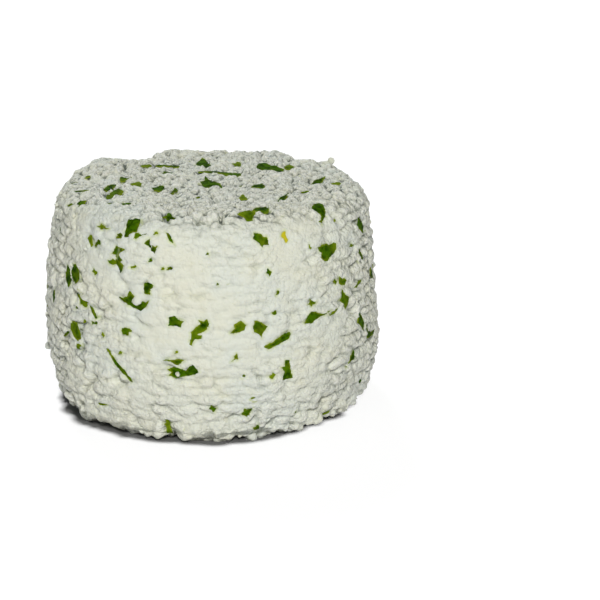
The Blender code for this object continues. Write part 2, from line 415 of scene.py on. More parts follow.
@dataclass
class Curd:
    """The curd's skin: rows on the side, flutes under the shoulder and scales on the top.

    Fades and spans in metres count from the end of the shoulder or of the side. Layers hold a strength
    and a share of a lobe's length. The rough pairs hold what is always there and what the flanks add.
    """

    form: Form
    scales: LumpRows = LumpRows(pitch=3.4 * MM, length=4.4 * MM, depth=2.3 * MM, wander=0.28, slide=0.3,
                                salt=Salt.SCALES, tilt=0.2)
    ridges: LumpRows = LumpRows(pitch=3.6 * MM, length=5.8 * MM, depth=2.1 * MM, wander=0.22, slide=0.35,
                                salt=Salt.RIDGES)
    flutes: LumpRows = LumpRows(pitch=8.5 * MM, length=4.6 * MM, depth=1.0 * MM, wander=0.15, slide=0.3,
                                salt=Salt.FLUTES, turn=0.15)
    crumble: Crumble = Crumble(size=1.9 * MM, salt=Salt.CRUMBLE)
    scale_fade: Span = (-9 * MM, -4 * MM)
    flute_fade: Span = (3 * MM, 5 * MM)
    flute_start: float = 6 * MM
    flute_patch: float = 22 * MM
    flute_gaps: Span = (-0.1, 0.2)
    calm_grain_mm: float = 0.08
    rough_grain_mm: float = 0.36
    ripple_depth: float = 0.2 * MM
    ripple_length: float = 2.2 * MM
    ripple_least: float = 0.6
    strength_parts: tuple[float, float, float] = (0.57, 0.53, 0.45)
    strength_range: Span = (0.25, 1.15)
    strength_patch: float = 12 * MM
    layer_salts: int = 4
    lobe_length: float = 9 * MM
    lobe_depth: float = 2.0 * MM
    lobe_layers: tuple[Span, ...] = ((1.0, 1.0), (0.7, 0.45))
    lobe_span: Span = (-4 * MM, 2 * MM)
    hem_ruffle: float = 2.3 * MM
    hem_layers: tuple[Span, ...] = ((0.8, 0.8), (0.7, 0.35))
    hem_inset: float = 2.0
    girth_radius: float = 61 * MM
    calmest: float = 0.02
    flank_span: Span = (0.16, 0.68)
    back_span: Span = (0.63, 0.86)
    back_calm: float = 0.55
    side_rough: Span = (0.2, 0.72)
    low_rough: Span = (0.44, 0.31)
    low_span: Span = (-40 * MM, -10 * MM)
    high_span: Span = (-13 * MM, 3 * MM)
    rough_drift: float = 0.3
    rough_patch: float = 16 * MM
    broken: tuple[Patch, ...] = (Patch(-42, 62, 16, -0.35), Patch(40, 62, 14, -0.2), Patch(0, 85, 18, -0.1),
                                 Patch(38, 118, 18, 0.1))

    def roughness(self, bearing: Array, reach: Array, points: Array) -> Array:
        """How broken the skin is: little in front, more on the flanks, the top and the foot.

        Args:
            bearing: Angles round the axis, in radians.
            reach: Distances along the skin.
            points: The plain form's points there.

        Returns:
            Shares from 0 to 1.
        """
        turned = np.abs(np.sin(bearing / 2 + self.calmest))
        flank = smooth_step(*self.flank_span, turned) * (1.0 - self.back_calm * smooth_step(*self.back_span, turned))
        side = self.side_rough[0] + self.side_rough[1] * flank
        low = self.span(self.form.side_end, self.low_span, reach) * (self.low_rough[0] + self.low_rough[1] * flank)
        high = 1.0 - self.span(self.form.shoulder_end, self.high_span, reach)
        patches = self.rough_drift * drift(points, self.rough_patch, Salt.PATCHES)
        patches = patches + self.form.patched(points, self.broken)
        return np.clip(np.maximum(side, np.maximum(low, high)) + patches, 0.0, 1.0)

    def span(self, middle: float, ends: Span, reach: Array) -> Array:
        """Smooth rise between two distances from a place along the skin."""
        return smooth_step(middle + ends[0], middle + ends[1], reach)

    def relief(self, bearing: Array, reach: Array) -> tuple[Array, Array]:
        """Fine relief of the skin, without the form's broad unevenness.

        Args:
            bearing: Angles round the axis, in radians.
            reach: Distances along the skin.

        Returns:
            The rise, and how broken the skin is.
        """
        points, _ = self.form.plain(bearing, reach)
        rough = self.roughness(bearing, reach, points)
        least, more, drifting = self.strength_parts
        strength = np.clip(least + more * rough + drifting * drift(points, self.strength_patch, Salt.STRENGTH),
                           *self.strength_range)
        girth = bearing * self.girth_radius
        end = self.form.shoulder_end
        top = self.scales.rise(points[:, 0], points[:, 1], points, strength)
        rows = self.ridges.rise(girth, reach - end, points, strength)
        flutes = self.flutes.rise(girth, reach - end + self.flute_start, points, strength)
        below_top = self.span(end, self.scale_fade, reach)
        fluting = below_top * (1.0 - self.span(end, self.flute_fade, reach))
        fluting *= smooth_step(*self.flute_gaps, drift(points, self.flute_patch, Salt.FLUTED))
        rise = (1.0 - below_top) * top + fluting * flutes + (below_top - fluting) * rows
        grain = self.crumble.rise(points) * (self.calm_grain_mm + self.rough_grain_mm * rough * rough) * MM
        ripple = drift(points, self.ripple_length, Salt.RIPPLE) * self.ripple_depth * (self.ripple_least + rough)
        return rise + grain + ripple, rough

    def layered(self, flat: Array, layers: Sequence[Span], salt: int) -> Array:
        """Sum of noises round the foot, each with a strength and a wave as a share of a lobe's length."""
        return sum(strength * drift(flat, self.lobe_length * wave, salt + self.layer_salts * number)
                   for number, (strength, wave) in enumerate(layers))

    def foot_lobes(self, points: Array, reach: Array) -> tuple[Array, Array]:
        """Ragged lobes that have pressed out round the foot, and the ruffled hem under them.

        Args:
            points: Points of the plain form.
            reach: Distances along the skin.

        Returns:
            How far the foot stands out, and how far its hem stands off the floor.
        """
        flat = points * np.array([1.0, 1.0, 0.0])
        lobes = self.layered(flat, self.lobe_layers, Salt.LOBES)
        low = self.span(self.form.side_end, self.lobe_span, reach)
        hem = self.form.hem_height(np.degrees(np.arctan2(points[:, 0], -points[:, 1])))
        ruffle = self.layered(flat, self.hem_layers, Salt.RUFFLE)
        raised = np.maximum(hem + ruffle * self.hem_ruffle, 0.0)
        return lobes * self.lobe_depth * low, raised * smooth_step(self.form.side_end, self.form.skin_end, reach)

    def skin(self, bearing: Array, reach: Array, lift: Array | float = 0.0) -> tuple[Array, Array]:
        """Points of the broad skin, without its fine relief.

        Args:
            bearing: Angles round the axis, in radians.
            reach: Distances along the skin.
            lift: How far to raise the points along the normal.

        Returns:
            Points and unit normals, each shaped (count, 3).
        """
        points, normals = self.form.plain(bearing, reach)
        out, raised = self.foot_lobes(points, reach)
        moved = points + normals * (self.form.swelling(points) + lift)[:, None]
        out = out - self.hem_inset * raised
        moved += np.column_stack([np.sin(bearing) * out, -np.cos(bearing) * out, raised])
        return moved, normals


def loop(*hundredths: int) -> tuple[Span, ...]:
    """Corners round an outline in a box of size 1, from x and y of each in hundredths."""
    return tuple((x / 100, y / 100) for x, y in zip(hundredths[::2], hundredths[1::2]))


class Cut(Enum):
    """Outlines that a knife leaves on chopped rocket, as seen from the front."""

    KITE = loop(-50, 0, -10, 50, 17, 10, 50, -40, 5, -42, -28, -50, -45, -20)
    RIBBON = loop(-50, 40, -10, 45, 10, 30, 50, 10, 50, -50, 15, -40, -5, 10, -50, 20)
    TORN = loop(-50, 5, -25, 15, -22, 50, -5, 20, 20, 5, 42, -10, 50, -45, 20, -40, -10, -40, -22, -50, -35, -20)
    PAIR = loop(-50, 5, -40, 40, -15, 50, 5, 25, 20, 25, 50, -10, 40, -40, 20, -50, 5, -15, -20, -20, -40, -15)
    FIN = loop(-50, -10, -20, 35, 20, 50, 50, 45, 30, 0, 35, -50, -10, -40)
    ARROW = loop(50, 10, 15, 50, -10, 30, -40, -15, -50, -50, -30, -45, 5, -20, 30, -10)
    COMMA = loop(-50, 10, -10, 15, 10, 50, 40, 40, 50, -30, 10, -50, -30, -35)
    BEAN = loop(10, 50, 50, 30, 45, -10, 10, -15, -20, -50, -50, -35, -10, 10)
    LENS = loop(-50, -45, -20, 5, 50, 50, 30, 0, 0, -40)
    BIRD = loop(-50, -15, -25, 10, -20, 50, 5, 20, 20, 0, 50, -5, 30, -25, 5, -20, -10, -50, -20, -25)
    SKIRT = loop(-50, 25, -30, 35, 15, 50, 50, 20, 30, -5, 20, -45, -10, -50, -20, -10)
    SOLE = loop(-50, -15, -35, 20, 0, 35, 30, 50, 50, 10, 40, -40, 10, -50, 0, -20, -30, -25)
    HOOK = loop(36, 50, 50, 37, 40, 20, 29, 0, 5, -24, -17, -36, -35, -50, -50, -40, -33, -36, -20, -22, -20, -10,
                -42, 0, -45, 16, -35, 27, -14, 38, 0, 47)
    SHARD = loop(-20, 40, 20, 50, 30, 0, 50, -30, 20, -50, -10, -20, -50, 10)
    BLOCK = loop(-20, 50, 10, 42, 20, 50, 50, 42, 46, 0, 34, -30, -10, -35, -25, -50, -50, -45, -35, -10)
    SPLINTER = loop(-50, 10, 10, 50, 15, 10, 50, -50, 10, -20, -30, 0)
    STEP = loop(-50, 10, -40, 50, 5, 38, 15, 20, 45, 20, 50, -40, 20, -35, 5, -50, -10, -25, -35, 0)
    FLAME = loop(-10, 50, 0, 30, 20, 15, 50, -20, 30, -50, 0, -30, -40, 0, -30, 20)
    BLADE = loop(-30, 42, 0, 50, 35, 30, 50, -15, 30, -40, 10, -50, -30, -28, -50, 8)
    BOLT = loop(-10, 50, 50, 35, 15, 10, 5, -10, 35, -35, 20, -50, -10, -50, -15, -10, -50, -5, -30, 15, -20, 40)
    WEDGE = loop(-50, 50, 0, 30, 50, 5, 30, -30, 15, -50, -10, -10, -35, 15)
    HEART = loop(-50, 41, -26, 50, 0, 50, 8, 38, 22, 39, 39, 45, 50, 38, 50, 6, 34, -14, 12, -28, -8, -50,
                 -28, -40, -43, -20, -37, -6, -33, 4, -43, 16)
    CLAW = loop(-50, 50, -35, 45, -10, 10, 20, 5, 45, 5, 30, -50, 0, -40, -20, -35, -25, 5, -45, 30)
    SLANT = loop(-50, 50, -10, 40, 50, -40, 30, -50, -20, -5)
    DIAMOND = loop(0, 50, 45, 15, 10, -30, -10, -50, -30, -30, -50, -10, -15, 15)
    BOAT = loop(-50, 44, -30, 34, -10, 22, -4, 10, 12, 6, 22, 10, 28, 32, 38, 24, 50, 50, 47, 20, 38, -16, 24, -50,
                16, -40, -2, -26, -18, -4, -36, 20)
    TOOTH = loop(-45, 42, -10, 50, 30, 42, 50, 30, 36, 5, 15, -5, 12, -50, -40, -45, -50, 0)
    FISH = loop(-14, 50, 8, 18, 50, 2, 35, -15, 28, -50, -12, -36, -50, -44, -46, 0, -48, 34)
    TAILED = loop(-50, -43, -38, 12, -27, 50, -12, 45, 12, 12, 29, 12, 50, 20, 29, 0, 10, -8, -7, -24, -26, -50)
    SPEAR = loop(-20, 50, 10, 20, 50, 0, 30, -30, 0, -50, -10, -20, -50, 0, -30, 20)
    SMILE = loop(-50, 10, -20, 10, 10, 0, 35, 50, 50, 30, 30, -10, -20, -40, -40, -50)
    RAG = loop(40, 50, 50, 30, 38, 10, 15, 0, -10, -10, 15, -10, 10, -25, -20, -25, -30, -35, -35, -50, -50, -45,
               -40, -20, -42, 0, -20, 15, 5, 30, -5, 45, 20, 38)
    CHIP = loop(-50, -45, -20, -5, -30, 20, 0, 40, 20, 50, 50, 10, 35, -30, -10, -45)
    SHIELD = loop(-40, 50, -10, 45, 50, 10, 20, -20, 5, -50, -10, -30, -45, -15, -50, 10)
    STRIP = loop(27, 46, 46, 50, 50, 36, 43, 6, 23, -8, 0, -28, -21, -40, -35, -50, -50, -31, -38, -16, -18, -5,
                 3, 19)
    STEM = loop(-50, 50, -42, 50, -10, 12, 20, -12, 42, -32, 50, -50, 38, -44, 10, -20, -20, 8)
    SADDLE = loop(-50, 10, -30, 30, -5, 15, 10, 5, 20, 35, 30, 50, 42, 20, 50, -5, 35, -20, 0, -35, -20, -50,
                  -45, -30, -35, -10)
    POST = loop(-20, 50, 20, 50, 30, 0, 50, -45, -10, -45, -40, -50, -20, -10, -50, 15, -25, 20)
    HORN = loop(30, 50, 50, -10, 40, -25, 10, -20, -50, -50, -10, -20, -10, 10)
    STAR = loop(-30, 40, 0, 25, 50, 40, 30, 10, 25, -20, 10, -50, -15, -30, -50, -10, -30, 10)
    SLAB = loop(-48, 33, -25, 48, 10, 50, 43, 0, 50, -30, 20, -50, -14, -30, -45, 2)
    BOOT = loop(-50, 50, -45, -38, 0, -48, 31, -50, 50, -32, 0, -22, -33, 7, -40, 48)
    SLIP = loop(-50, -10, -10, 30, 30, 50, 50, 20, 10, -30, -30, -50)
    WISP = loop(-50, 50, -15, 45, 15, 15, 32, -15, 50, -50, 0, -20, -20, 5, -35, 28)
    BUD = loop(-40, 50, -10, 20, 30, 10, 50, -10, 15, -50, -40, -30, -50, 10)


class Tone(Enum):
    """How olive and how yellow a bit of leaf is."""

    DARK = (-0.8, 0.0)
    DEEP = (0.0, 0.0)
    MID = (0.4, 0.0)
    OLIVE = (0.9, 0.0)
    YELLOW = (1.0, 1.0)


@dataclass(frozen=True)
class LeafBit:
    """One bit of chopped rocket, as it lies in the skin.

    On the top, wide runs from left to right and tall runs from front to back. On the side, wide runs
    round the cheese and tall runs up it. The tip is how far the far edge stands up over the near one.
    """

    bearing: float
    reach_mm: float
    wide_mm: float
    tall_mm: float
    cut: Cut
    tone: Tone = Tone.DEEP
    tip_mm: float = 0.0
    turn: float = 0.0
    rib: bool = False


SHOWN_BITS: tuple[LeafBit, ...] = tuple(LeafBit(*row) for row in (
    (-136, 36, 4.4, 4.5, Cut.SOLE, Tone.OLIVE, 0.3),
    (-148, 30.7, 10.2, 4.2, Cut.PAIR, Tone.MID, 0.3),
    (-130, 21.6, 6.2, 4.5, Cut.BIRD, Tone.MID, 0.3),
    (-175, 28.4, 6.6, 9.4, Cut.KITE, Tone.DARK, 2.5),
    (160, 28.2, 3.4, 5, Cut.COMMA, Tone.OLIVE, 0.8),
    (163, 11, 16.4, 4.8, Cut.RIBBON, Tone.DEEP, 0.6, -8),
    (-10, 2, 8.6, 8.6, Cut.TORN, Tone.DARK, 2.6),
    (133, 30.8, 10.4, 8.6, Cut.PAIR, Tone.DARK, 2.2),
    (127, 38.5, 6.1, 5.4, Cut.KITE, Tone.MID, 0.7),
    (60, 19.8, 5, 5.2, Cut.SOLE, Tone.MID, 0.7),
    (90.5, 39.7, 5.9, 7.6, Cut.LENS, Tone.DEEP, 2.0),
    (85.5, 46.2, 3.7, 3.5, Cut.COMMA, Tone.OLIVE, 0.2),
    (24.4, 28.1, 3.2, 5, Cut.KITE, Tone.OLIVE, 1.0),
    (43.7, 37.2, 4.6, 7.2, Cut.LENS, Tone.DARK, 2.0),
    (62.2, 38.6, 3, 3.6, Cut.COMMA, Tone.MID, 0.2),
    (20.8, 48.6, 6, 5, Cut.SOLE, Tone.DEEP, 1.2),
    (13.7, 52.5, 6.8, 5.2, Cut.SKIRT, Tone.OLIVE, 1.2),
    (-15.8, 53, 5.2, 3.9, Cut.BIRD, Tone.DEEP, 0.8),
    (-60, 22.5, 4.7, 4.8, Cut.COMMA, Tone.DEEP, 1.1),
    (-43.5, 20, 2.7, 5.5, Cut.BEAN, Tone.DEEP, 1.2),
    (-80, 28.4, 4.5, 4.2, Cut.SOLE, Tone.OLIVE, 0.6),
    (-97.7, 32.2, 5.2, 5, Cut.TAILED, Tone.MID, 0.8, 18),
    (-74, 38.8, 4.6, 5.4, Cut.FIN, Tone.DARK, 1.8),
    (-62.5, 39.4, 7.1, 7.5, Cut.ARROW, Tone.MID, 1.9),
    (-60.5, 54, 4.4, 3.6, Cut.SOLE, Tone.MID, 0.6),
    (-75.5, 48.8, 5.9, 1.5, Cut.SLIP, Tone.DEEP),
    (-102, 47.5, 2, 3, Cut.CHIP),
    (-42, 45.8, 3.8, 2, Cut.SLIP),
    (-47.5, 48.8, 1.7, 1.5, Cut.SLIP),
    (-38, 43.7, 1.2, 1, Cut.CHIP),
    (-12, 24, 1.5, 2.5, Cut.CHIP),
    (53, 14, 2, 1.2, Cut.SLIP, Tone.DEEP, 0, 15),
    (-94, 51.6, 1.4, 3, Cut.CHIP),
    (-66.5, 56.5, 2.4, 1, Cut.SLIP, Tone.DEEP, 0, 30),
    (-68, 66.5, 2.6, 1.8, Cut.SPEAR, Tone.DEEP, 0, 30),
    (45, 55.3, 7.7, 9.3, Cut.HOOK, Tone.DARK),
    (49, 60, 1.4, 0.9, Cut.CHIP, Tone.OLIVE),
    (-28.8, 58.6, 6.2, 6.6, Cut.BLOCK, Tone.DEEP, 0, 17),
    (-40.7, 60, 5.7, 1.9, Cut.BIRD, Tone.MID),
    (-33, 61.8, 2.7, 2.1, Cut.CHIP, Tone.MID),
    (-25, 60.8, 5, 1.9, Cut.TAILED, Tone.DEEP, 0, 10),
    (-46.2, 65.8, 3.1, 4.2, Cut.SHARD, Tone.OLIVE),
    (-42.5, 66, 3.1, 2.8, Cut.BEAN),
    (-33.2, 68.3, 5.6, 5.2, Cut.BOLT, Tone.DEEP, 0, 0, True),
    (-35.6, 71.3, 3.6, 2, Cut.COMMA, Tone.OLIVE),
    (-32.5, 72.4, 3.6, 4.9, Cut.WEDGE, Tone.MID),
    (-21.7, 63.5, 2.9, 4.3, Cut.SPLINTER, Tone.MID),
    (-19.8, 65.1, 2.2, 3, Cut.STAR),
    (-21, 69, 1.3, 1.4, Cut.CHIP, Tone.MID),
    (-14.4, 61.1, 3, 4, Cut.WISP, Tone.MID),
    (-19.4, 59.6, 1.7, 1, Cut.CHIP, Tone.OLIVE),
    (16.8, 62, 5.3, 5.3, Cut.STEP),
    (25.5, 62, 2.3, 4.2, Cut.SHARD, Tone.YELLOW),
    (43.6, 70.3, 9.1, 6, Cut.HEART, Tone.MID),
    (35.5, 67, 1.5, 2.3, Cut.SPEAR, Tone.MID),
    (67.4, 65.9, 6.8, 7.4, Cut.FLAME, Tone.DARK),
    (58, 71, 3.2, 1.1, Cut.BIRD, Tone.OLIVE),
    (64, 75.9, 4.9, 4.9, Cut.SLANT),
    (-58, 81, 4.1, 8.2, Cut.BLADE),
    (-53.5, 79.2, 5.2, 7, Cut.BLADE),
    (-43, 76.3, 2.6, 2.2, Cut.SPEAR, Tone.OLIVE),
    (-21.6, 79, 3.5, 4.1, Cut.TOOTH),
    (-28.5, 83.2, 4.8, 5, Cut.DIAMOND, Tone.MID),
    (-27, 85.2, 11.8, 4.1, Cut.BOAT, Tone.MID),
    (-48.6, 87.9, 6.6, 3.8, Cut.CLAW, Tone.MID),
    (-51.7, 91, 1.8, 1.2, Cut.CHIP, Tone.OLIVE),
    (-43.3, 91, 3.6, 3.9, Cut.SLANT, Tone.MID),
    (-42.8, 94.6, 3.4, 1.6, Cut.SADDLE, Tone.MID),
    (-47.5, 95.2, 1.3, 1.4, Cut.CHIP, Tone.OLIVE),
    (-39, 98.4, 1.3, 1.9, Cut.SPEAR, Tone.OLIVE),
    (-70.4, 92.2, 3, 4.8, Cut.BLADE),
    (-27, 72, 2.9, 1.1, Cut.SLIP, Tone.OLIVE),
    (-16.8, 71.6, 1.3, 1, Cut.CHIP, Tone.MID),
    (-14.5, 71.4, 2.2, 1.2, Cut.CHIP),
    (-1.7, 66, 1.1, 0.7, Cut.CHIP, Tone.OLIVE),
    (1.6, 76.5, 0.9, 0.7, Cut.CHIP),
    (19, 73.5, 2.1, 2.8, Cut.SPEAR, Tone.MID),
    (21.8, 81, 1.3, 1.6, Cut.CHIP),
    (20.4, 88, 1.5, 1.6, Cut.COMMA),
    (50, 82, 4.4, 3.6, Cut.BUD),
    (45.8, 81.4, 1.6, 2, Cut.SPEAR),
    (60, 85.8, 6, 2, Cut.BEAN, Tone.MID),
    (78, 87, 8, 5.4, Cut.FLAME),
    (50.3, 89, 5.8, 7.4, Cut.SPEAR),
    (34.9, 86.7, 3.6, 2.6, Cut.BIRD, Tone.MID),
    (37.2, 92.05, 12, 4, Cut.TAILED),
    (44.2, 92.1, 4.6, 1.6, Cut.LENS, Tone.MID),
    (60.5, 100, 6.6, 8.4, Cut.FLAME),
    (70.4, 106.2, 12.4, 5.9, Cut.BOOT, Tone.DARK),
    (-12, 90, 5.4, 3.8, Cut.FISH, Tone.MID),
    (-4.5, 93.5, 7, 9.6, Cut.RAG, Tone.MID),
    (8.1, 92, 5.4, 4.3, Cut.CHIP, Tone.MID),
    (15.5, 93.3, 5.2, 6.1, Cut.SHIELD, Tone.MID),
    (21.4, 98.4, 10.3, 5, Cut.STRIP, Tone.MID),
    (-29.4, 95.5, 4.3, 2.4, Cut.TOOTH),
    (-52.3, 100, 6.4, 6.5, Cut.SLAB, Tone.OLIVE),
    (-50.4, 105.3, 2.4, 1.8, Cut.TOOTH, Tone.OLIVE),
    (-58, 102.7, 5.2, 1.3, Cut.SLIP, Tone.DEEP, 0, 26),
    (-32.4, 108.4, 10.9, 10.4, Cut.STEM, Tone.MID),
    (-32, 103.6, 1.4, 1.2, Cut.CHIP),
    (-13.1, 104.3, 7.4, 2.2, Cut.TAILED, Tone.MID, 0, 172),
    (-10, 108, 11.2, 5, Cut.SADDLE),
    (-12, 101, 1.2, 0.9, Cut.CHIP, Tone.OLIVE),
    (6.8, 103, 2.3, 2.8, Cut.HORN),
    (24.5, 109.5, 4.2, 7, Cut.POST),
    (19.4, 111, 2.3, 2.7, Cut.DIAMOND, Tone.OLIVE),
    (53.5, 112.3, 5.8, 5.2, Cut.HORN, Tone.DARK),
    (9.6, 110, 1.2, 1, Cut.CHIP),
    (-0.5, 122.4, 2.4, 2.8, Cut.SPEAR),
    (11.2, 125, 3.8, 4.6, Cut.STAR),
    (14.9, 131.3, 2.3, 1.9, Cut.COMMA, Tone.MID),
    (-16.3, 130, 2.4, 5.8, Cut.POST, Tone.MID),
    (44.4, 132, 5.6, 2.2, Cut.LENS, Tone.OLIVE),
    (29, 127, 0.8, 0.8, Cut.CHIP),
    (-42, 125.6, 4.6, 1.1, Cut.SLIP, Tone.MID),
    (65.3, 125.5, 3.4, 2.4, Cut.FLAME),
    (12.8, 119, 1.8, 0.8, Cut.SLIP, Tone.MID),
))


@dataclass(frozen=True)
class PlacedBit:
    """A leaf bit with its outline and its place in space."""

    bit: LeafBit
    outline: Array
    middle: Array
    across: Array
    upward: Array
    on_top: bool

    def flatten(self, points: Array) -> Array:
        """Coordinates of points in the bit's own plane, shaped (count, 2)."""
        away = points - self.middle
        return np.stack([away @ self.across, away @ self.upward], axis=1)

    def tipping(self, flat: Array) -> Array:
        """How far the bit's tilt raises points of its plane."""
        share = np.clip(flat[:, 1] / (self.bit.tall_mm * MM), -0.5, 0.5)
        return share * self.bit.tip_mm * MM

    def depth_inside(self, flat: Array) -> Array:
        """Distance to the outline, positive inside it.

        Args:
            flat: Plane coordinates, shaped (count, 2).

        Returns:
            Signed distances, one for each point.
        """
        start, end = self.outline, np.roll(self.outline, -1, axis=0)
        run = end - start
        away = flat[:, None, :] - start[None, :, :]
        share = np.clip(np.sum(away * run, axis=2) / np.sum(run * run, axis=1), 0.0, 1.0)
        distance = np.min(np.linalg.norm(away - share[:, :, None] * run, axis=2), axis=1)
        crosses = (start[:, 1] > flat[:, None, 1]) != (end[:, 1] > flat[:, None, 1])
        height = np.where(np.abs(run[:, 1]) < LEVEL_EDGE, LEVEL_EDGE, run[:, 1])
        at = start[:, 0] + (flat[:, None, 1] - start[:, 1]) / height * run[:, 0]
        inside = np.sum(crosses & (flat[:, None, 0] < at), axis=1) % 2 == 1
        return np.where(inside, distance, -distance)


@dataclass
class RocketLeaf:
    """All bits of chopped rocket: the ones that show, and a seeded spread over the rest."""

    curd: Curd
    spread_count: int = 120
    gap: float = 5 * MM
    shown_half_angle: float = 84.0
    lift: float = 0.16 * MM
    thickness: float = 0.3 * MM
    wave_depth: float = 0.14 * MM
    wave_length: float = 3.0 * MM
    seat_depth: float = 0.2 * MM
    seat_share: float = 0.55
    seat_reach: float = 4 * MM
    press_edge: Span = (-0.35 * MM, 0.12 * MM)
    mound_reach: float = 2.2 * MM
    clear_ahead: float = 2.0 * MM
    stain_reach: float = 1.3 * MM
    margin: float = 0.12 * MM
    edge_step: float = 0.5 * MM
    edge_jitter: float = 0.18 * MM
    rim_width: float = 0.5 * MM
    rib_width: float = 0.3 * MM
    rib_lean: float = 0.25
    smooth_angle: float = 50.0
    top_edge: float = 2 * MM
    grid_share: float = 1.1
    grid_shake: float = 0.4
    grid_inset: float = 0.3
    sheet_salts: int = 7
    side_share: float = 0.8
    side_start: float = 8 * MM
    top_clear: float = 4 * MM
    top_half_angle: float = 150.0
    small_share: float = 0.45
    small_mm: Span = (1.2, 3.4)
    large_mm: Span = (3.6, 8.0)
    tall_share: Span = (0.5, 1.3)
    tallest_mm: float = 7.5
    widest_turn: float = 90.0
    rib_share: float = 0.08
    drawn_tones: tuple[Tone, ...] = (Tone.DEEP, Tone.MID, Tone.MID, Tone.OLIVE)
    seed: int = 5
    placed: list[PlacedBit] = field(default_factory=list)

    def scatter_bits(self) -> list[LeafBit]:
        """Bits for the back and sides, by a seeded draw, clear of each other.

        Returns:
            The drawn bits.
        """
        draw = random.Random(self.seed)
        form = self.curd.form
        bits: list[LeafBit] = []
        spots = [(bit.bearing, bit.reach_mm * MM) for bit in SHOWN_BITS]
        while len(bits) < self.spread_count:
            bearing = draw.uniform(-HALF_TURN, HALF_TURN)
            on_side = draw.random() < self.side_share
            reach = (draw.uniform(form.shoulder_end - self.side_start, form.side_end) if on_side
                     else form.top_flat * math.sqrt(draw.random()))
            if not on_side or abs(bearing) < self.shown_half_angle:
                continue
            if reach < form.shoulder_end + self.top_clear and abs(bearing) < self.top_half_angle:
                continue
            points, _ = form.plain(np.radians([bearing] + [spot[0] for spot in spots]),
                                   np.array([reach] + [spot[1] for spot in spots]))
            if np.min(np.linalg.norm(points[1:] - points[0], axis=1)) < self.gap:
                continue
            wide = draw.uniform(*(self.small_mm if draw.random() < self.small_share else self.large_mm))
            tall = wide * draw.uniform(*self.tall_share)
            bits.append(LeafBit(bearing, reach / MM, wide, min(tall, self.tallest_mm), draw.choice(list(Cut)),
                                draw.choice(self.drawn_tones), turn=draw.uniform(-self.widest_turn, self.widest_turn),
                                rib=draw.random() < self.rib_share))
            spots.append((bearing, reach))
        return bits

    def outline(self, bit: LeafBit, draw: random.Random) -> Array:
        """Ragged outline of one bit, in metres in its own plane.

        Args:
            bit: The bit.
            draw: Source of random numbers.

        Returns:
            Corner coordinates, shaped (count, 2), anticlockwise.
        """
        size = np.array([bit.wide_mm, bit.tall_mm]) * MM + 2 * self.margin
        corners = [np.array(corner) * size for corner in bit.cut.value]
        rim: list[Array] = []
        for start, end in zip(corners, corners[1:] + corners[:1]):
            steps = max(1, round(float(np.linalg.norm(end - start)) / self.edge_step))
            for step in range(steps):
                ragged = np.array([draw.uniform(-1, 1), draw.uniform(-1, 1)]) * self.edge_jitter
                rim.append(start + (end - start) * step / steps + (ragged if step else 0.0))
        shape = np.array(rim)
        area = np.sum(shape[:, 0] * np.roll(shape[:, 1], -1) - np.roll(shape[:, 0], -1) * shape[:, 1])
        return shape if area > 0 else shape[::-1]

    def place(self) -> None:
        """Give every bit its outline and its place."""
        draw = random.Random(self.seed + 1)
        for bit in (*SHOWN_BITS, *self.scatter_bits()):
            bearing, reach = np.radians([bit.bearing]), np.array([bit.reach_mm * MM])
            middle, normal = self.curd.skin(bearing, reach, self.lift)
            on_top = bit.reach_mm * MM < self.curd.form.top_flat + self.top_edge
            angle = math.radians(bit.turn - (bit.bearing if on_top else 0.0))
            along = np.array([math.cos(bearing[0]), math.sin(bearing[0]), 0.0])
            up = np.cross(normal[0], along)
            across = along * math.cos(angle) + up * math.sin(angle)
            self.placed.append(PlacedBit(bit, self.outline(bit, draw), middle[0], across,
                                         np.cross(normal[0], across), on_top))

    def seat(self, points: Array, rise: Array) -> tuple[Array, Array]:
        """Fit the curd under every bit: heap it under tilted ones, and press it below each of them.

        Args:
            points: Points of the broad skin.
            rise: Fine relief there.

        Returns:
            The fitted relief, and how near each point is to a bit.
        """
        fitted = rise.copy()
        stain = np.zeros(len(points))
        for leaf in self.placed:
            size = math.hypot(leaf.bit.wide_mm, leaf.bit.tall_mm) * MM
            nearby = np.linalg.norm(points - leaf.middle, axis=1) < self.seat_share * size + self.seat_reach
            close = np.nonzero(nearby)[0]
            if len(close) == 0:
                continue
            flat = leaf.flatten(points[close])
            inside = leaf.depth_inside(flat)
            tipped = leaf.tipping(flat)
            heaped = fitted[close] + tipped * smooth_step(-self.mound_reach, 0.0, inside)
            floor = self.lift + tipped - self.wave_depth - self.seat_depth
            if leaf.on_top:
                behind = leaf.flatten(points[close] + np.array([0.0, self.clear_ahead, 0.0]))
                inside = np.maximum(inside, leaf.depth_inside(behind))
            pressed = smooth_step(*self.press_edge, inside)
            fitted[close] = np.where(heaped > floor, heaped + (floor - heaped) * pressed, heaped)
            stain[close] = np.maximum(stain[close], np.exp(-np.maximum(-inside, 0.0) / self.stain_reach))
        return fitted, stain

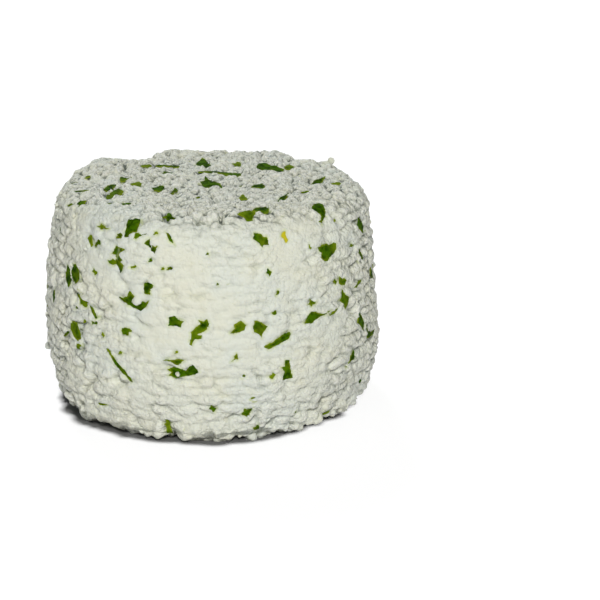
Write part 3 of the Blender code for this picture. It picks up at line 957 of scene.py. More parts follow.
    def sheet(self, leaf: PlacedBit, salt: int) -> tuple[Array, Array, Array]:
        """Triangulated plane shape of one bit.

        Args:
            leaf: The placed bit.
            salt: Number that sets its inner points.

        Returns:
            Plane points, triangles, and each point's depth inside the outline.
        """
        low, high = leaf.outline.min(axis=0), leaf.outline.max(axis=0)
        step = self.edge_step * self.grid_share
        columns = np.arange(low[0], high[0], step)
        lines = np.arange(low[1], high[1], step)
        grid = np.array([(x, y) for x in columns for y in lines]).reshape(-1, 2)
        if len(grid):
            shake = np.stack([scatter(np.arange(len(grid))[:, None], salt + axis) for axis in (0, 1)], axis=1)
            grid = grid + (shake - 0.5) * step * self.grid_shake
            grid = grid[leaf.depth_inside(grid) > self.grid_inset * step]
        rim = [Vector(point) for point in leaf.outline]
        inner = [Vector(point) for point in grid]
        points, _, faces, *_ = delaunay_2d_cdt(rim + inner, [], [list(range(len(rim)))], 1, WELD)
        flat = np.array([tuple(point) for point in points])
        return flat, np.array(faces), leaf.depth_inside(flat)

    def build(self) -> bpy.types.Object:
        """Make all bits as one mesh of thin wavy plates.

        Returns:
            The leaf piece.
        """
        points, faces, tones = [], [], []
        base = 0
        for number, leaf in enumerate(self.placed):
            flat, triangles, depth = self.sheet(leaf, number * self.sheet_salts)
            spot = leaf.middle + flat[:, :1] * leaf.across + flat[:, 1:] * leaf.upward
            bearing, reach = self.curd.form.locate(spot)
            wave = drift(spot, self.wave_length, Salt.LEAF_WAVE) * self.wave_depth
            upper, normals = self.curd.skin(bearing, reach, self.lift + wave + leaf.tipping(flat))
            lower = upper - normals * self.thickness
            count = len(flat)
            points.append(np.concatenate([upper, lower]))
            faces.extend((triangles + base).tolist())
            faces.extend((triangles[:, ::-1] + base + count).tolist())
            faces.extend(self.rim_faces(triangles, base, count))
            tones.append(np.tile(self.tones(leaf, flat, depth), (2, 1)))
            base += 2 * count
        piece = mesh_object("rocket_leaf_bits", np.concatenate(points), faces)
        shade_smooth(piece, math.radians(self.smooth_angle))
        values = np.concatenate(tones)
        for column, name in enumerate(("olive", "yellow", "rim", "rib")):
            store(piece, name, values[:, column])
        return piece

    def rim_faces(self, triangles: Array, base: int, count: int) -> list[list[int]]:
        """Faces that close the edge between the upper and the lower sheet.

        Args:
            triangles: Triangles of the upper sheet.
            base: Index of the sheet's first point.
            count: Number of points in the sheet.

        Returns:
            Four-cornered faces.
        """
        edges = {(int(a), int(b)) for face in triangles for a, b in zip(face, np.roll(face, -1))}
        return [[base + b, base + a, base + a + count, base + b + count]
                for a, b in sorted(edges) if (b, a) not in edges]

    def tones(self, leaf: PlacedBit, flat: Array, depth: Array) -> Array:
        """Colour shares at the points of one bit.

        Args:
            leaf: The placed bit.
            flat: Plane points.
            depth: Depth of each point inside the outline.

        Returns:
            Olive, yellow, rim and rib shares, shaped (count, 4).
        """
        olive, yellow = leaf.bit.tone.value
        aside = np.abs(flat[:, 0] - self.rib_lean * flat[:, 1])
        rib = np.exp(-(aside / self.rib_width) ** 2) if leaf.bit.rib else np.zeros(len(flat))
        rim = 1.0 - np.clip(depth / self.rim_width, 0.0, 1.0)
        return np.column_stack([np.full(len(flat), olive), np.full(len(flat), yellow), rim, rib])


def linked(name: str, data: bpy.types.ID) -> bpy.types.Object:
    """Make an object of a mesh, a camera or a light, and link it to the scene.

    Args:
        name: Name of the object.
        data: What the object shows.

    Returns:
        The object.
    """
    thing = bpy.data.objects.new(name, data)
    bpy.context.scene.collection.objects.link(thing)
    return thing


def aim(thing: bpy.types.Object, eye: Vector, target: Vector) -> None:
    """Put a camera or a lamp in the eye's place, and turn it towards the target."""
    thing.location = eye
    thing.rotation_euler = (target - eye).to_track_quat("-Z", "Y").to_euler()


def mesh_object(name: str, points: Array, faces: Sequence[Sequence[int]]) -> bpy.types.Object:
    """Make an object from points and faces, and link it to the scene.

    Args:
        name: Name of the piece.
        points: Points, shaped (count, 3).
        faces: Corner indices of each face.

    Returns:
        The object.
    """
    mesh = bpy.data.meshes.new(name)
    mesh.from_pydata(points.tolist(), [], faces)
    mesh.validate()
    return linked(name, mesh)


def shade_smooth(piece: bpy.types.Object, angle: float | None = None) -> None:
    """Shade a piece smooth, with edges sharper than an angle kept sharp.

    Args:
        piece: The piece.
        angle: Sharpest smooth angle in radians, or None for smooth all over.
    """
    piece.data.shade_smooth()
    if angle is not None:
        piece.data.set_sharp_from_angle(angle=angle)


def store(piece: bpy.types.Object, name: str, values: Array) -> None:
    """Keep a number for each point of a piece under a name, for its finish to read."""
    attribute = piece.data.attributes.new(name, "FLOAT", "POINT")
    attribute.data.foreach_set("value", values.astype(np.float32))


@dataclass
class CurdBody:
    """The body of curd as one closed skin: a top disc, the side's rings and a base disc."""

    curd: Curd
    leaf: RocketLeaf
    disc_cells: int = 120
    rings: int = 147
    top_share: float = 0.18
    base_relief: float = 0.6
    strip_count: int = 3
    map_width: float = 0.28
    hollow_passes: int = 4
    hollow_depth: float = 0.28 * MM
    hollow_range: Span = (-1.0, 1.5)
    base_edge: float = 0.85
    strip_gap: float = 0.01
    disc_gap: float = 0.02
    base_offset: float = 0.5

    def disc(self) -> tuple[Array, Array, Array, Array]:
        """Square grid bent to a disc.

        Returns:
            Bearings, shares of the radius, faces, and the rim's indices in order of bearing.
        """
        count = self.disc_cells + 1
        axis = np.linspace(-1.0, 1.0, count)
        x, y = (grid.ravel() for grid in np.meshgrid(axis, axis, indexing="ij"))
        share = np.maximum(np.abs(x), np.abs(y))
        safe = np.where(share == 0, 1.0, share)
        wide = np.abs(x) >= np.abs(y)
        angle = np.where(wide, math.pi / 4 * y / np.where(wide, np.where(x == 0, safe, x), safe),
                         math.pi / 2 - math.pi / 4 * x / np.where(wide, safe, np.where(y == 0, safe, y)))
        angle = angle + np.where(np.where(wide, x, y) < 0, math.pi, 0.0)
        bearing = np.mod(angle + math.pi / 2, math.tau)
        corner = (np.arange(count - 1)[:, None] * count + np.arange(count - 1)).ravel()
        faces = np.stack([corner, corner + count, corner + count + 1, corner + 1], axis=1)
        rim = np.nonzero(share > 1.0 - TINY)[0]
        return bearing, share, faces, rim[np.argsort(bearing[rim])]

    def build(self) -> bpy.types.Object:
        """Make the skin.

        Returns:
            The curd piece.
        """
        form = self.curd.form
        bearing, share, disc_faces, rim = self.disc()
        first_ring = form.top_flat + form.shoulder_arc * self.top_share
        steps = np.linspace(first_ring, form.skin_end, self.rings + 1)[1:]
        columns = len(rim)
        ring_bearing = np.tile(bearing[rim], self.rings)
        ring_reach = np.repeat(steps, columns)
        all_bearing = np.concatenate([bearing, ring_bearing])
        all_reach = np.concatenate([share * first_ring, ring_reach])
        skin, normals = self.curd.skin(all_bearing, all_reach)
        relief, rough = self.curd.relief(all_bearing, all_reach)
        rise, stain = self.leaf.seat(skin, relief)
        points = skin + normals * rise[:, None]
        points[:, 2] = np.maximum(points[:, 2], 0.0)
        last = len(points) - columns
        base, base_rise = self.base(bearing, share, points[last:], rim)
        top_count = len(bearing)
        faces = disc_faces.tolist()
        ring_index = np.concatenate([rim[None, :], top_count + np.arange(self.rings * columns).reshape(-1, columns)])
        upper, lower = ring_index[:-1], ring_index[1:]
        side = np.stack([upper, lower, np.roll(lower, -1, axis=1), np.roll(upper, -1, axis=1)], axis=2)
        faces.extend(side.reshape(-1, 4).tolist())
        inner = np.nonzero(share <= 1.0 - TINY)[0]
        base_index = np.full(top_count, -1)
        base_index[inner] = len(points) + np.arange(len(inner))
        base_index[rim] = last + np.arange(columns)
        faces.extend(base_index[disc_faces[:, ::-1]].tolist())
        piece = mesh_object("curd", np.concatenate([points, base[inner]]), faces)
        shade_smooth(piece)
        store(piece, "rough", np.concatenate([rough, np.ones(len(inner))]))
        store(piece, "stain", np.concatenate([stain, np.zeros(len(inner))]))
        self.mark_hollows(piece, np.concatenate([rise, base_rise[inner]]))
        self.unwrap(piece, len(disc_faces), columns)
        return piece

    def base(self, bearing: Array, share: Array, rim_points: Array, rim: Array) -> tuple[Array, Array]:
        """Underside: it meets the side's last ring, and its scales hollow upwards from the floor.

        Args:
            bearing: Bearings of the disc's points.
            share: Shares of the radius of the disc's points.
            rim_points: Points of the last ring, in order of bearing.
            rim: Indices of the disc's rim, in order of bearing.

        Returns:
            Points of the disc, and their rise out of it.
        """
        around = np.interp(bearing, bearing[rim], np.linalg.norm(rim_points[:, :2], axis=1), period=math.tau)
        edge_level = np.interp(bearing, bearing[rim], rim_points[:, 2], period=math.tau)
        radius = share * around
        flat = np.column_stack([np.sin(bearing) * radius, -np.cos(bearing) * radius, np.zeros(len(radius))])
        rise = self.curd.scales.rise(flat[:, 0], flat[:, 1], flat, np.ones(len(radius)))
        inside = 1.0 - smooth_step(self.base_edge, 1.0, share)
        flat[:, 2] = (np.max(rise) - rise) * self.base_relief * inside + edge_level * (1.0 - inside)
        return flat, rise * inside

    def mark_hollows(self, piece: bpy.types.Object, rise: Array) -> None:
        """Keep for each point how far it lies below its neighbours, for the finish to paint shade into its hollows and
        a highlight onto its crests.

        Args:
            piece: The curd piece.
            rise: Fine relief of its points.
        """
        mesh = piece.data
        ends = np.empty(len(mesh.edges) * 2, dtype=np.int64)
        mesh.edges.foreach_get("vertices", ends)
        first, second = ends.reshape(-1, 2).T
        count = np.bincount(first, minlength=len(rise)) + np.bincount(second, minlength=len(rise))
        level = rise
        for _ in range(self.hollow_passes):
            total = np.bincount(first, level[second], len(rise)) + np.bincount(second, level[first], len(rise))
            level = 0.5 * level + 0.5 * total / count
        store(piece, "hollow", np.clip((level - rise) / self.hollow_depth, *self.hollow_range))

    def unwrap(self, piece: bpy.types.Object, disc_faces: int, columns: int) -> None:
        """Lay the skin out flat: the side in strips, with the top and the base beside them.

        Args:
            piece: The curd piece.
            disc_faces: Number of faces in a disc.
            columns: Number of faces round a ring.
        """
        mesh = piece.data
        count = len(mesh.vertices)
        points = np.empty(count * 3)
        mesh.vertices.foreach_get("co", points)
        points = points.reshape(-1, 3)
        corners = np.empty(len(mesh.loops), dtype=np.int64)
        mesh.loops.foreach_get("vertex_index", corners)
        face = np.arange(len(mesh.polygons)).repeat(4)
        form = self.curd.form
        layout = np.zeros((len(corners), 2))
        disc = (points[corners, :2] + form.widest_radius) / self.map_width
        is_top = face < disc_faces
        is_base = face >= disc_faces + self.rings * columns
        strip_high = (form.skin_end - form.top_flat) / self.map_width
        strip_wide = math.tau * form.widest_radius / self.strip_count / self.map_width
        layout[is_top] = disc[is_top] + np.array([strip_wide + self.disc_gap, 0.0])
        layout[is_base] = disc[is_base] + np.array([strip_wide + self.disc_gap, self.base_offset])
        side = ~(is_top | is_base)
        number = face[side] - disc_faces
        corner = np.tile(np.arange(4), len(mesh.polygons))[side]
        column = number % columns + (corner >= 2)
        ring = number // columns + ((corner == 1) | (corner == 2))
        per_strip = columns // self.strip_count
        strip = np.minimum((number % columns) // per_strip, self.strip_count - 1)
        layout[side, 0] = (column - strip * per_strip) / per_strip * strip_wide
        layout[side, 1] = strip * (strip_high + self.strip_gap) + ring / self.rings * strip_high
        uv = mesh.uv_layers.new(name="OFBake")
        uv.data.foreach_set("uv", np.clip(layout, 0.0, 1.0).astype(np.float32).ravel())


@dataclass(frozen=True)
class Crumb:
    """One loose lump of curd; it sinks into the skin by a share of its radius, or stands off it."""

    bearing: float
    reach_mm: float
    radius_mm: float
    sink: float = 0.35


@dataclass
class CurdCrumbs:
    """Loose crumbs: the ones that stand out of the outline, lumps at the foot and grains elsewhere."""

    curd: Curd
    leaf: RocketLeaf
    shown: tuple[Crumb, ...] = tuple(Crumb(*row) for row in (
        (122, 53, 1.9, 0.3), (122.5, 53, 1.4, -0.3), (120.5, 53, 1.1, -1.3), (-88, 117, 1.6, 0.2),
        (-89, 117.5, 1.3, -0.6), (-90, 118, 0.9, -2.0), (-10, 134, 2.0, 0.0), (14, 136, 2.2, -0.2),
        (18, 136.5, 1.5, -0.2), (40, 132, 2.1, 0.1), (-11.6, 109, 0.9, 0.45), (-25.6, 83.8, 1.6, 0.45),
        (-54, 89, 2.0, 0.5)))
    foot_count: int = 80
    foot_start: float = 1 * MM
    foot_stop: float = 2 * MM
    foot_mm: Span = (0.8, 1.7)
    foot_sink: Span = (0.45, 0.85)
    grain_count: int = 420
    grain_mm: Span = (0.5, 1.1)
    grain_sink: Span = (0.3, 0.85)
    top_share: float = 0.5
    flank_bearings: Span = (40, HALF_TURN)
    clear_reach: float = 10 * MM
    subdivisions: int = 3
    lumpiness: float = 0.28
    lump_wave: float = 0.9
    lump_step: float = 3.7
    stretch: Span = (0.75, 1.3)
    seed: int = 21

    def drawn(self) -> list[Crumb]:
        """Lumps at the foot and grains on the top and flanks, by a seeded draw.

        Returns:
            The drawn crumbs.
        """
        draw = random.Random(self.seed)
        form = self.curd.form
        foot = form.side_end - self.foot_start, form.skin_end - self.foot_stop
        lumps = [Crumb(draw.uniform(-HALF_TURN, HALF_TURN), draw.uniform(*foot) / MM,
                       draw.uniform(*self.foot_mm), draw.uniform(*self.foot_sink)) for _ in range(self.foot_count)]
        grains = []
        for _ in range(self.grain_count):
            on_top = draw.random() < self.top_share
            reach = (form.shoulder_end * math.sqrt(draw.random()) if on_top
                     else draw.uniform(form.shoulder_end, form.side_end))
            bearing = (draw.uniform(-HALF_TURN, HALF_TURN) if on_top
                       else draw.choice((-1, 1)) * draw.uniform(*self.flank_bearings))
            grains.append(Crumb(bearing, reach / MM, draw.uniform(*self.grain_mm), draw.uniform(*self.grain_sink)))
        return self.clear(lumps + grains)

    def seats(self, crumbs: Sequence[Crumb], lifts: Array | float = 0.0) -> Array:
        """Points of the broad skin at crumbs, each raised by its own lift."""
        bearings, reaches = self.places(crumbs)
        return self.curd.skin(bearings, reaches, lifts)[0]

    def places(self, crumbs: Sequence[Crumb]) -> tuple[Array, Array]:
        """Bearings in radians and reaches of crumbs."""
        return (np.radians([crumb.bearing for crumb in crumbs]),
                np.array([crumb.reach_mm * MM for crumb in crumbs]))

    def clear(self, crumbs: Sequence[Crumb]) -> list[Crumb]:
        """Crumbs that keep off every leaf bit.

        Args:
            crumbs: The crumbs.

        Returns:
            Those of them that do.
        """
        spots = self.seats(crumbs)
        room = np.array([crumb.radius_mm * MM for crumb in crumbs])
        clear = np.ones(len(crumbs), dtype=bool)
        for leaf in self.leaf.placed:
            near = np.nonzero(np.linalg.norm(spots - leaf.middle, axis=1) < self.clear_reach)[0]
            clear[near] &= leaf.depth_inside(leaf.flatten(spots[near])) < -room[near]
        return [crumb for crumb, kept in zip(crumbs, clear) if kept]

    def build(self) -> bpy.types.Object:
        """Make every crumb as a lumpy ball, all in one mesh.

        Returns:
            The crumb piece.
        """
        ball = bmesh.new()
        bmesh.ops.create_icosphere(ball, subdivisions=self.subdivisions, radius=1.0)
        shape = np.array([vertex.co[:] for vertex in ball.verts])
        pattern = np.array([[vertex.index for vertex in face.verts] for face in ball.faces])
        ball.free()
        draw = random.Random(self.seed + 1)
        points, faces = [], []
        crumbs = [*self.shown, *self.drawn()]
        relief, _ = self.curd.relief(*self.places(crumbs))
        middles = self.seats(crumbs, relief - np.array([crumb.sink * crumb.radius_mm * MM for crumb in crumbs]))
        for number, (crumb, middle) in enumerate(zip(crumbs, middles)):
            bumps = drift(shape + number * self.lump_step, self.lump_wave, Salt.CRUMB)
            lumps = 1.0 + bumps[:, None] * self.lumpiness
            stretch = np.array([draw.uniform(*self.stretch) for _ in range(3)])
            spots = shape * lumps * stretch * crumb.radius_mm * MM + middle
            spots[:, 2] = np.maximum(spots[:, 2], 0.0)
            points.append(spots)
            faces.append(pattern + number * len(shape))
        piece = mesh_object("curd_crumbs", np.concatenate(points), np.concatenate(faces).tolist())
        shade_smooth(piece)
        return piece


class Signal:
    """A node's output that takes part in sums, products and powers of numbers."""

    def __init__(self, graph: Graph, socket: bpy.types.NodeSocket) -> None:
        """Keep the graph and the socket."""
        self.graph = graph
        self.socket = socket

    def __add__(self, other: Signal | float) -> Signal:
        """Sum."""
        return self.graph.maths("ADD", self, other)

    def __sub__(self, other: Signal | float) -> Signal:
        """Difference."""
        return self.graph.maths("SUBTRACT", self, other)

    def __rsub__(self, other: Signal | float) -> Signal:
        """Difference from a number."""
        return self.graph.maths("SUBTRACT", other, self)

    def __mul__(self, other: Signal | float) -> Signal:
        """Product."""
        return self.graph.maths("MULTIPLY", self, other)

    __radd__ = __add__
    __rmul__ = __mul__

    def clamped(self) -> Signal:
        """The value kept between 0 and 1."""
        return self.graph.node("ShaderNodeClamp", {}, {"Value": self})


class Graph:
    """Builds the nodes of one material or world."""

    def __init__(self, tree: bpy.types.NodeTree) -> None:
        """Start from the tree of a material or world, emptied."""
        self.tree = tree
        tree.nodes.clear()

    def node(self, kind: str, settings: Mapping[str, object], inputs: Mapping[str | int, object],
             output: str | int = 0) -> Signal:
        """Add a node, with its settings first and then its sockets.

        Args:
            kind: Blender's name of the node's type.
            settings: Attributes of the node.
            inputs: Values or links of its sockets, by name or number.
            output: Which output to hand on.

        Returns:
            The chosen output.
        """
        node = self.tree.nodes.new(kind)
        for name, value in settings.items():
            setattr(node, name, value)
        for name, value in inputs.items():
            if isinstance(value, Signal):
                self.tree.links.new(value.socket, node.inputs[name])
            elif isinstance(value, tuple) and len(value) == 3 and node.inputs[name].type == "RGBA":
                node.inputs[name].default_value = (*value, 1.0)
            else:
                node.inputs[name].default_value = value
        return Signal(self, node.outputs[output]) if len(node.outputs) else Signal(self, None)

    def maths(self, operation: str, first: Signal | float, second: Signal | float) -> Signal:
        """One Math node."""
        return self.node("ShaderNodeMath", {"operation": operation}, {0: first, 1: second})

    def blend(self, share: Signal | float, first: Signal | Colour, second: Signal | Colour) -> Signal:
        """Two colours mixed, with the share of the second one."""
        return self.node("ShaderNodeMix", {"data_type": "RGBA"}, {0: share, 6: first, 7: second}, 2)

    def attribute(self, name: str) -> Signal:
        """A number stored on the points of the mesh."""
        return self.node("ShaderNodeAttribute", {"attribute_name": name}, {}, "Fac")

    def place(self) -> Signal:
        """Object coordinates."""
        return self.node("ShaderNodeTexCoord", {}, {}, "Object")

    def mottle(self, scale: float, detail: float = 3.0, roughness: float = 0.5) -> Signal:
        """Noise over the object, from 0 to 1, with its scale in waves to a metre."""
        return self.node("ShaderNodeTexNoise", {"noise_dimensions": "3D"},
                         {"Vector": self.place(), "Scale": scale, "Detail": detail, "Roughness": roughness}, "Fac")

    def grains(self, feature: str, place: Signal, scale: float) -> Signal:
        """Distance to the nearest grain's middle or edge, with the scale in grains to a metre."""
        return self.node("ShaderNodeTexVoronoi", {"feature": feature}, {"Vector": place, "Scale": scale}, "Distance")

    def bump(self, strength: float, distance: float, height: Signal) -> Signal:
        """One Bump node."""
        return self.node("ShaderNodeBump", {}, {"Strength": strength, "Distance": distance, "Height": height},
                         "Normal")

    def steps(self, value: Signal, low: float, high: float) -> Signal:
        """The range from low to high stretched to 0 to 1, clamped."""
        return self.node("ShaderNodeMapRange", {"clamp": True},
                         {"Value": value, "From Min": low, "From Max": high, "To Min": 0.0, "To Max": 1.0})

    def surface(self, shader: Signal, output: str = "ShaderNodeOutputMaterial") -> None:
        """Connect the shader to the output."""
        self.node(output, {}, {"Surface": shader})


def new_material(name: str) -> tuple[bpy.types.Material, Graph]:
    """Make an empty material.

    Args:
        name: Name of the material.

    Returns:
        The material and the graph that fills it.
    """
    material = bpy.data.materials.new(name)
    material.use_nodes = True
    return material, Graph(material.node_tree)


@dataclass(frozen=True)
class Mottling:
    """Patches with soft edges, from 0 between them to 1 inside them."""

    scale: float
    detail: float
    low: float
    high: float
    roughness: float = 0.5

    def share(self, graph: Graph) -> Signal:
        """The patches in a material's graph."""
        return graph.steps(graph.mottle(self.scale, self.detail, self.roughness), self.low, self.high)


@dataclass(frozen=True)
class CurdFinish:
    """Moist fresh curd: ivory white, a little see-through, with painted shade in its hollows and seams and a painted
    highlight on its crests.
    """

    light: Colour = (0.85, 0.85, 0.715)
    cool: Colour = (0.81, 0.84, 0.755)
    warm: Colour = (0.82, 0.80, 0.60)
    # Painted shade: a dark grey-green colour put into the hollows and the seams between grains, standing in for the
    # shade that falls there.
    hollow: Colour = (0.160, 0.184, 0.152)
    # Painted highlight: a paler colour put on the crests of the relief, standing in for light catching them.
    crest: Colour = (0.95, 0.95, 0.85)
    stain: Colour = (0.76, 0.82, 0.80)
    juice: Colour = (0.66, 0.72, 0.34)
    herb_speck: Colour = (0.52, 0.58, 0.12)
    cool_patches: Mottling = Mottling(45.0, 2.0, 0.38, 0.66)
    warm_spots: Mottling = Mottling(160.0, 2.0, 0.56, 0.74)
    seam_patches: Mottling = Mottling(150.0, 2.0, 0.38, 0.6)
    juice_spots: Mottling = Mottling(420.0, 2.0, 0.40, 0.60)
    specks: Mottling = Mottling(260.0, 3.0, 0.69, 0.75)
    speck_patches: Mottling = Mottling(60.0, 1.0, 0.45, 0.6)
    warm_share: float = 0.4
    stain_share: float = 0.5
    juice_edge: Span = (0.4, 0.9)
    juice_share: float = 0.8
    speck_share: float = 0.6
    crest_highlight_edge: Span = (-0.1, -0.8)
    hollow_shade_edge: Span = (0.05, 1.1)
    calm_hollow_shade: float = 0.19
    rough_hollow_shade: float = 0.8
    seam_shade_share: float = 0.6
    fine_seams: float = 0.5
    seam_width: float = 0.075
    dome_steepness: float = 1.6
    fine_height: float = 0.45
    cell_height: float = 0.3
    crumb_height: float = 0.36
    calm_height: float = 0.26
    rough_height: float = 0.74
    least_rough: float = 0.42
    rough_spread: float = 0.22
    translucence: float = 0.12
    scatter_colour: Colour = (1.0, 0.9, 0.65)
    scatter_depth: float = 0.8 * MM
    specular: float = 0.4
    fine_noise: tuple[float, float, float] = (600.0, 4.0, 0.65)
    sheen_noise: Span = (300.0, 2.0)
    bump_height: float = 1.4 * MM
    cell_scale: float = 420.0
    crumb_scale: float = 800.0
    bend_scale: float = 350.0
    bend: float = 1.8 * MM

    def material(self, name: str, on_body: bool) -> bpy.types.Material:
        """Build the material.

        Args:
            name: Name of the material.
            on_body: Whether it reads the hollows, stains and roughness kept on the body's points.

        Returns:
            The material.
        """
        material, graph = new_material(name)
        base = graph.blend(self.cool_patches.share(graph), self.light, self.cool)
        base = graph.blend(self.warm_spots.share(graph) * self.warm_share, base, self.warm)
        height = graph.mottle(*self.fine_noise) * self.fine_height
        if on_body:
            base, height = self.worked(graph, base, height)
        shader = graph.node("ShaderNodeBsdfPrincipled", {}, {
            "Base Color": base, "Roughness": self.least_rough + self.rough_spread * graph.mottle(*self.sheen_noise),
            "Normal": graph.bump(1.0, self.bump_height, height), "Subsurface Weight": self.translucence,
            "Subsurface Radius": self.scatter_colour, "Subsurface Scale": self.scatter_depth,
            "Specular IOR Level": self.specular})
        graph.surface(shader)
        return material

    def worked(self, graph: Graph, base: Signal, height: Signal) -> tuple[Signal, Signal]:
        """Add the body's stains and specks, a painted highlight on its crests, painted shade in its hollows and seams,
        and its grains.

        Args:
            graph: The material's graph.
            base: Colour so far.
            height: Height so far.

        Returns:
            The colour and the height.
        """
        rough, stain, relief = (graph.attribute(name) for name in ("rough", "stain", "hollow"))
        place = self.crumpled(graph)
        seams = self.seams(graph, place, self.cell_scale) + self.seams(graph, place, self.crumb_scale) * self.fine_seams
        seams = seams * self.seam_patches.share(graph)
        base = graph.blend(stain * self.stain_share, base, self.stain)
        juice = graph.steps(stain, *self.juice_edge) * self.juice_spots.share(graph)
        base = graph.blend(juice * self.juice_share, base, self.juice)
        # Painted highlight: crests, where the kept relief stands above its neighbours, are lightened towards the crest
        # colour, more where the skin is broken.
        base = graph.blend(graph.steps(relief, *self.crest_highlight_edge) * rough, base, self.crest)
        # Painted shade: hollows and the thin seams between grains are darkened towards the hollow colour, most where
        # the skin is broken.
        rough_squared = rough * rough
        hollow = graph.steps(relief, *self.hollow_shade_edge) * (self.calm_hollow_shade + self.rough_hollow_shade * rough_squared * rough_squared)
        base = graph.blend((hollow + seams * self.seam_shade_share * rough_squared * rough_squared).clamped(), base, self.hollow)
        speck = self.specks.share(graph) * self.speck_patches.share(graph)
        base = graph.blend(speck * self.speck_share, base, self.herb_speck)
        cells, crumbs = (self.cells(graph, place, scale) for scale in (self.cell_scale, self.crumb_scale))
        height = height + cells * self.cell_height + crumbs * self.crumb_height
        return base, height * (self.calm_height + self.rough_height * rough)

    def cells(self, graph: Graph, place: Signal, scale: float) -> Signal:
        """Domes of small grains, from 0 between them to 1 in their middles."""
        away = graph.grains("F1", place, scale)
        return 1.0 - away * away * self.dome_steepness

    def seams(self, graph: Graph, place: Signal, scale: float) -> Signal:
        """Thin lines between grains, with 1 on a line and 0 beside it."""
        return graph.steps(graph.grains("DISTANCE_TO_EDGE", place, scale), self.seam_width, 0.0)

    def crumpled(self, graph: Graph) -> Signal:
        """Object coordinates, bent a little so that grains are uneven."""
        place = graph.place()
        bend = graph.node("ShaderNodeTexNoise", {"noise_dimensions": "3D"}, {
            "Vector": place, "Scale": self.bend_scale, "Detail": 2.0}, "Color")
        offset = graph.node("ShaderNodeVectorMath", {"operation": "SCALE"}, {0: bend, "Scale": self.bend})
        return graph.node("ShaderNodeVectorMath", {"operation": "ADD"}, {0: place, 1: offset})


@dataclass(frozen=True)
class LeafFinish:
    """Chopped rocket leaf: deep green, olive where it is thin, with paler cut edges."""

    deep: Colour = (0.015, 0.047, 0.0003)
    fresh: Colour = (0.060, 0.148, 0.001)
    olive: Colour = (0.170, 0.252, 0.005)
    edge: Colour = (0.300, 0.360, 0.020)
    yellow: Colour = (0.66, 0.58, 0.03)
    vein: Colour = (0.33, 0.40, 0.18)
    fresh_patches: Mottling = Mottling(420.0, 4.0, 0.40, 0.60, 0.6)
    edge_patches: Mottling = Mottling(250.0, 3.0, 0.38, 0.62)
    thin_noise: Span = (190.0, 2.0)
    grain_noise: Span = (500.0, 2.0)
    olive_tone: float = 0.3
    olive_edge: Span = (0.55, 0.78)
    olive_share: float = 0.85
    edge_share: float = 0.8
    vein_share: float = 0.8
    yellow_share: float = 0.9
    vein_scale: float = 700.0
    vein_width: float = 0.2
    vein_height: float = 0.5
    bump_strength: float = 0.7
    bump_height: float = 0.25 * MM
    least_rough: float = 0.5
    rough_spread: float = 0.2
    specular: float = 0.015

    def material(self) -> bpy.types.Material:
        """Build the material.

        Returns:
            The material.
        """
        material, graph = new_material("rocket_leaf")
        base = graph.blend(self.fresh_patches.share(graph), self.deep, self.fresh)
        thin = graph.mottle(*self.thin_noise) + self.olive_tone * graph.attribute("olive")
        base = graph.blend(graph.steps(thin, *self.olive_edge) * self.olive_share, base, self.olive)
        rim = graph.attribute("rim") * self.edge_share * self.edge_patches.share(graph)
        base = graph.blend(rim, base, self.edge)
        base = graph.blend(graph.attribute("rib") * self.vein_share, base, self.vein)
        base = graph.blend(graph.attribute("yellow") * self.yellow_share, base, self.yellow)
        veins = graph.grains("DISTANCE_TO_EDGE", graph.place(), self.vein_scale)
        height = graph.steps(veins, 0.0, self.vein_width) * self.vein_height + graph.mottle(*self.grain_noise)
        shader = graph.node("ShaderNodeBsdfPrincipled", {}, {
            "Base Color": base, "Roughness": self.least_rough + self.rough_spread * graph.mottle(*self.grain_noise),
            "Normal": graph.bump(self.bump_strength, self.bump_height, height), "Specular IOR Level": self.specular})
        graph.surface(shader)
        return material


@dataclass(frozen=True)
class Viewpoint:
    """The camera, a little above the cheese and in front of it."""

    distance: float = 0.80
    elevation: float = 16.7
    look_height: float = 40 * MM
    aim: tuple[float, float, float] = (33 * MM, 0.0, 35.5 * MM)
    lens_mm: float = 127.0
    sensor_mm: float = 36.0
    nearest: float = 0.05

    def build(self) -> bpy.types.Object:
        """Place the camera and make it the scene's own.

        Returns:
            The camera.
        """
        data = bpy.data.cameras.new("camera")
        data.sensor_width = self.sensor_mm
        data.lens = self.lens_mm
        data.clip_start = self.nearest
        camera = linked("camera", data)
        tilt = math.radians(self.elevation)
        eye = Vector((0.0, -self.distance * math.cos(tilt), self.look_height + self.distance * math.sin(tilt)))
        aim(camera, eye, Vector(self.aim))
        bpy.context.scene.camera = camera
        return camera


@dataclass(frozen=True)
class Lamp:
    """A soft square light that looks at the cheese."""

    name: str
    bearing: float
    elevation: float
    distance: float
    size: float
    power: float
    colour: Colour = (1.0, 1.0, 1.0)
    look_height: float = 40 * MM

    def build(self) -> bpy.types.Object:
        """Place the lamp.

        Returns:
            The lamp.
        """
        data = bpy.data.lights.new(self.name, "AREA")
        data.size = self.size
        data.energy = self.power
        data.color = self.colour
        lamp = linked(self.name, data)
        turn, tilt = math.radians(self.bearing), math.radians(self.elevation)
        target = Vector((0.0, 0.0, self.look_height))
        way = Vector((math.sin(turn) * math.cos(tilt), -math.cos(turn) * math.cos(tilt), math.sin(tilt)))
        aim(lamp, target + self.distance * way, target)
        return lamp


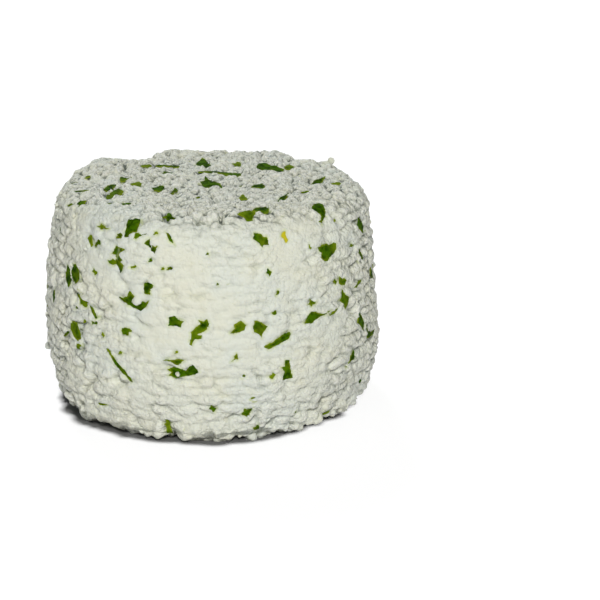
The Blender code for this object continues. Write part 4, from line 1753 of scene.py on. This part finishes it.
@dataclass
class Studio:
    """White floor, even surroundings and soft lamps."""

    curd: Curd
    floor_size: float = 6.0
    floor_colour: Colour = (0.22, 0.22, 0.22)
    bounce_colour: Colour = (0.14, 0.14, 0.14)
    ambient: float = 0.165
    background: float = 1.0
    floor_sun: float = 12.5
    sun_angle: float = 50.0
    shade_margin: float = 2.4 * MM
    shade_middle: tuple[float, float, float] = (-2.6 * MM, -3.0 * MM, 4 * MM)
    shade_raggedness: float = 0.5
    shade_sides: int = 360
    ambient_colour: Colour = (0.94, 1.0, 0.99)
    lamps: tuple[Lamp, ...] = (
        Lamp("key", 2, 33, 1.3, 0.14, 9.1, (1.0, 0.995, 0.97)),
        Lamp("back_fill", 195, 40, 1.6, 0.5, 10.0, (0.96, 1.0, 1.0)),
    )

    def build(self) -> None:
        """Make the floor, the surroundings and the lamps."""
        bpy.context.scene.view_settings.view_transform = "Standard"
        floor = self.floor()
        self.world()
        for lamp in self.lamps:
            lamp.build()
        self.sun(floor, self.foot_shade())

    def floor(self) -> bpy.types.Object:
        """A pale floor, which sends back less light than it shows.

        Returns:
            The floor.
        """
        half = self.floor_size / 2
        corners = np.array([(-half, -half, 0.0), (half, -half, 0.0), (half, half, 0.0), (-half, half, 0.0)])
        floor = mesh_object("floor", corners, [(0, 1, 2, 3)])
        material, graph = new_material("floor")
        seen = graph.node("ShaderNodeLightPath", {}, {}, "Is Camera Ray")
        colour = graph.blend(seen, self.bounce_colour, self.floor_colour)
        graph.surface(graph.node("ShaderNodeBsdfDiffuse", {}, {"Color": colour}))
        floor.data.materials.append(material)
        return floor

    def world(self) -> None:
        """Even light from all round, with a white background."""
        world = bpy.data.worlds.new("studio")
        bpy.context.scene.world = world
        world.use_nodes = True
        graph = Graph(world.node_tree)
        seen = graph.node("ShaderNodeLightPath", {}, {}, "Is Camera Ray")
        strength = self.ambient + seen * (self.background - self.ambient)
        colour = graph.blend(seen, self.ambient_colour, (1.0, 1.0, 1.0))
        glow = graph.node("ShaderNodeBackground", {}, {"Color": colour, "Strength": strength})
        graph.surface(glow, "ShaderNodeOutputWorld")

    def foot_shade(self) -> bpy.types.Object:
        """A ragged disc in the foot that alone keeps the floor light off the floor, for a tight contact shadow.

        Returns:
            The disc, which only casts shade.
        """
        bearing = np.linspace(0.0, math.tau, self.shade_sides, endpoint=False)
        edge = np.full(len(bearing), self.curd.form.skin_end)
        rim, _ = self.curd.form.plain(bearing, edge)
        rim += (self.curd.skin(bearing, edge)[0] - rim) * self.shade_raggedness
        rim[:, 2] = 0.0
        rim *= 1.0 + self.shade_margin / np.linalg.norm(rim, axis=1)[:, None]
        shade = mesh_object("foot_shade", rim + np.array(self.shade_middle), [tuple(range(len(rim)))])
        for ray in ("camera", "diffuse", "glossy", "transmission", "volume_scatter"):
            setattr(shade, f"visible_{ray}", False)
        return shade

    def sun(self, floor: bpy.types.Object, shade: bpy.types.Object) -> None:
        """A high light for the floor alone, which keeps it white.

        Args:
            floor: The floor.
            shade: What keeps the light off the floor.
        """
        data = bpy.data.lights.new("floor_light", "SUN")
        data.energy = self.floor_sun
        data.angle = math.radians(self.sun_angle)
        sun = linked("floor_light", data)
        for name, thing, role in (("lit_by_floor_light", floor, "receiver"), ("blocks_floor_light", shade, "blocker")):
            group = bpy.data.collections.new(name)
            group.objects.link(thing)
            setattr(sun.light_linking, f"{role}_collection", group)


def main() -> None:
    """Build the camera, the studio and every piece, in order."""
    logging.basicConfig(level=logging.INFO, format="%(message)s")
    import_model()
    Viewpoint().build()
    curd = Curd(Form())
    Studio(curd).build()
    leaf = RocketLeaf(curd)
    leaf.place()
    finish = CurdFinish()
    pieces = [
        (CurdBody(curd, leaf).build(), finish.material("curd", True), "curd"),
        (leaf.build(), LeafFinish().material(), "rocket_leaf"),
        (CurdCrumbs(curd, leaf).build(), finish.material("loose_curd", False), "curd"),
    ]
    for piece, material, slot in pieces:
        piece.data.materials.append(material)
        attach(piece, BODY)
        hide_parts(NODE)
        LOG.info("%s: %d points, %d faces", piece.name, len(piece.data.vertices), len(piece.data.polygons))


if __name__ == "__main__":
    main()
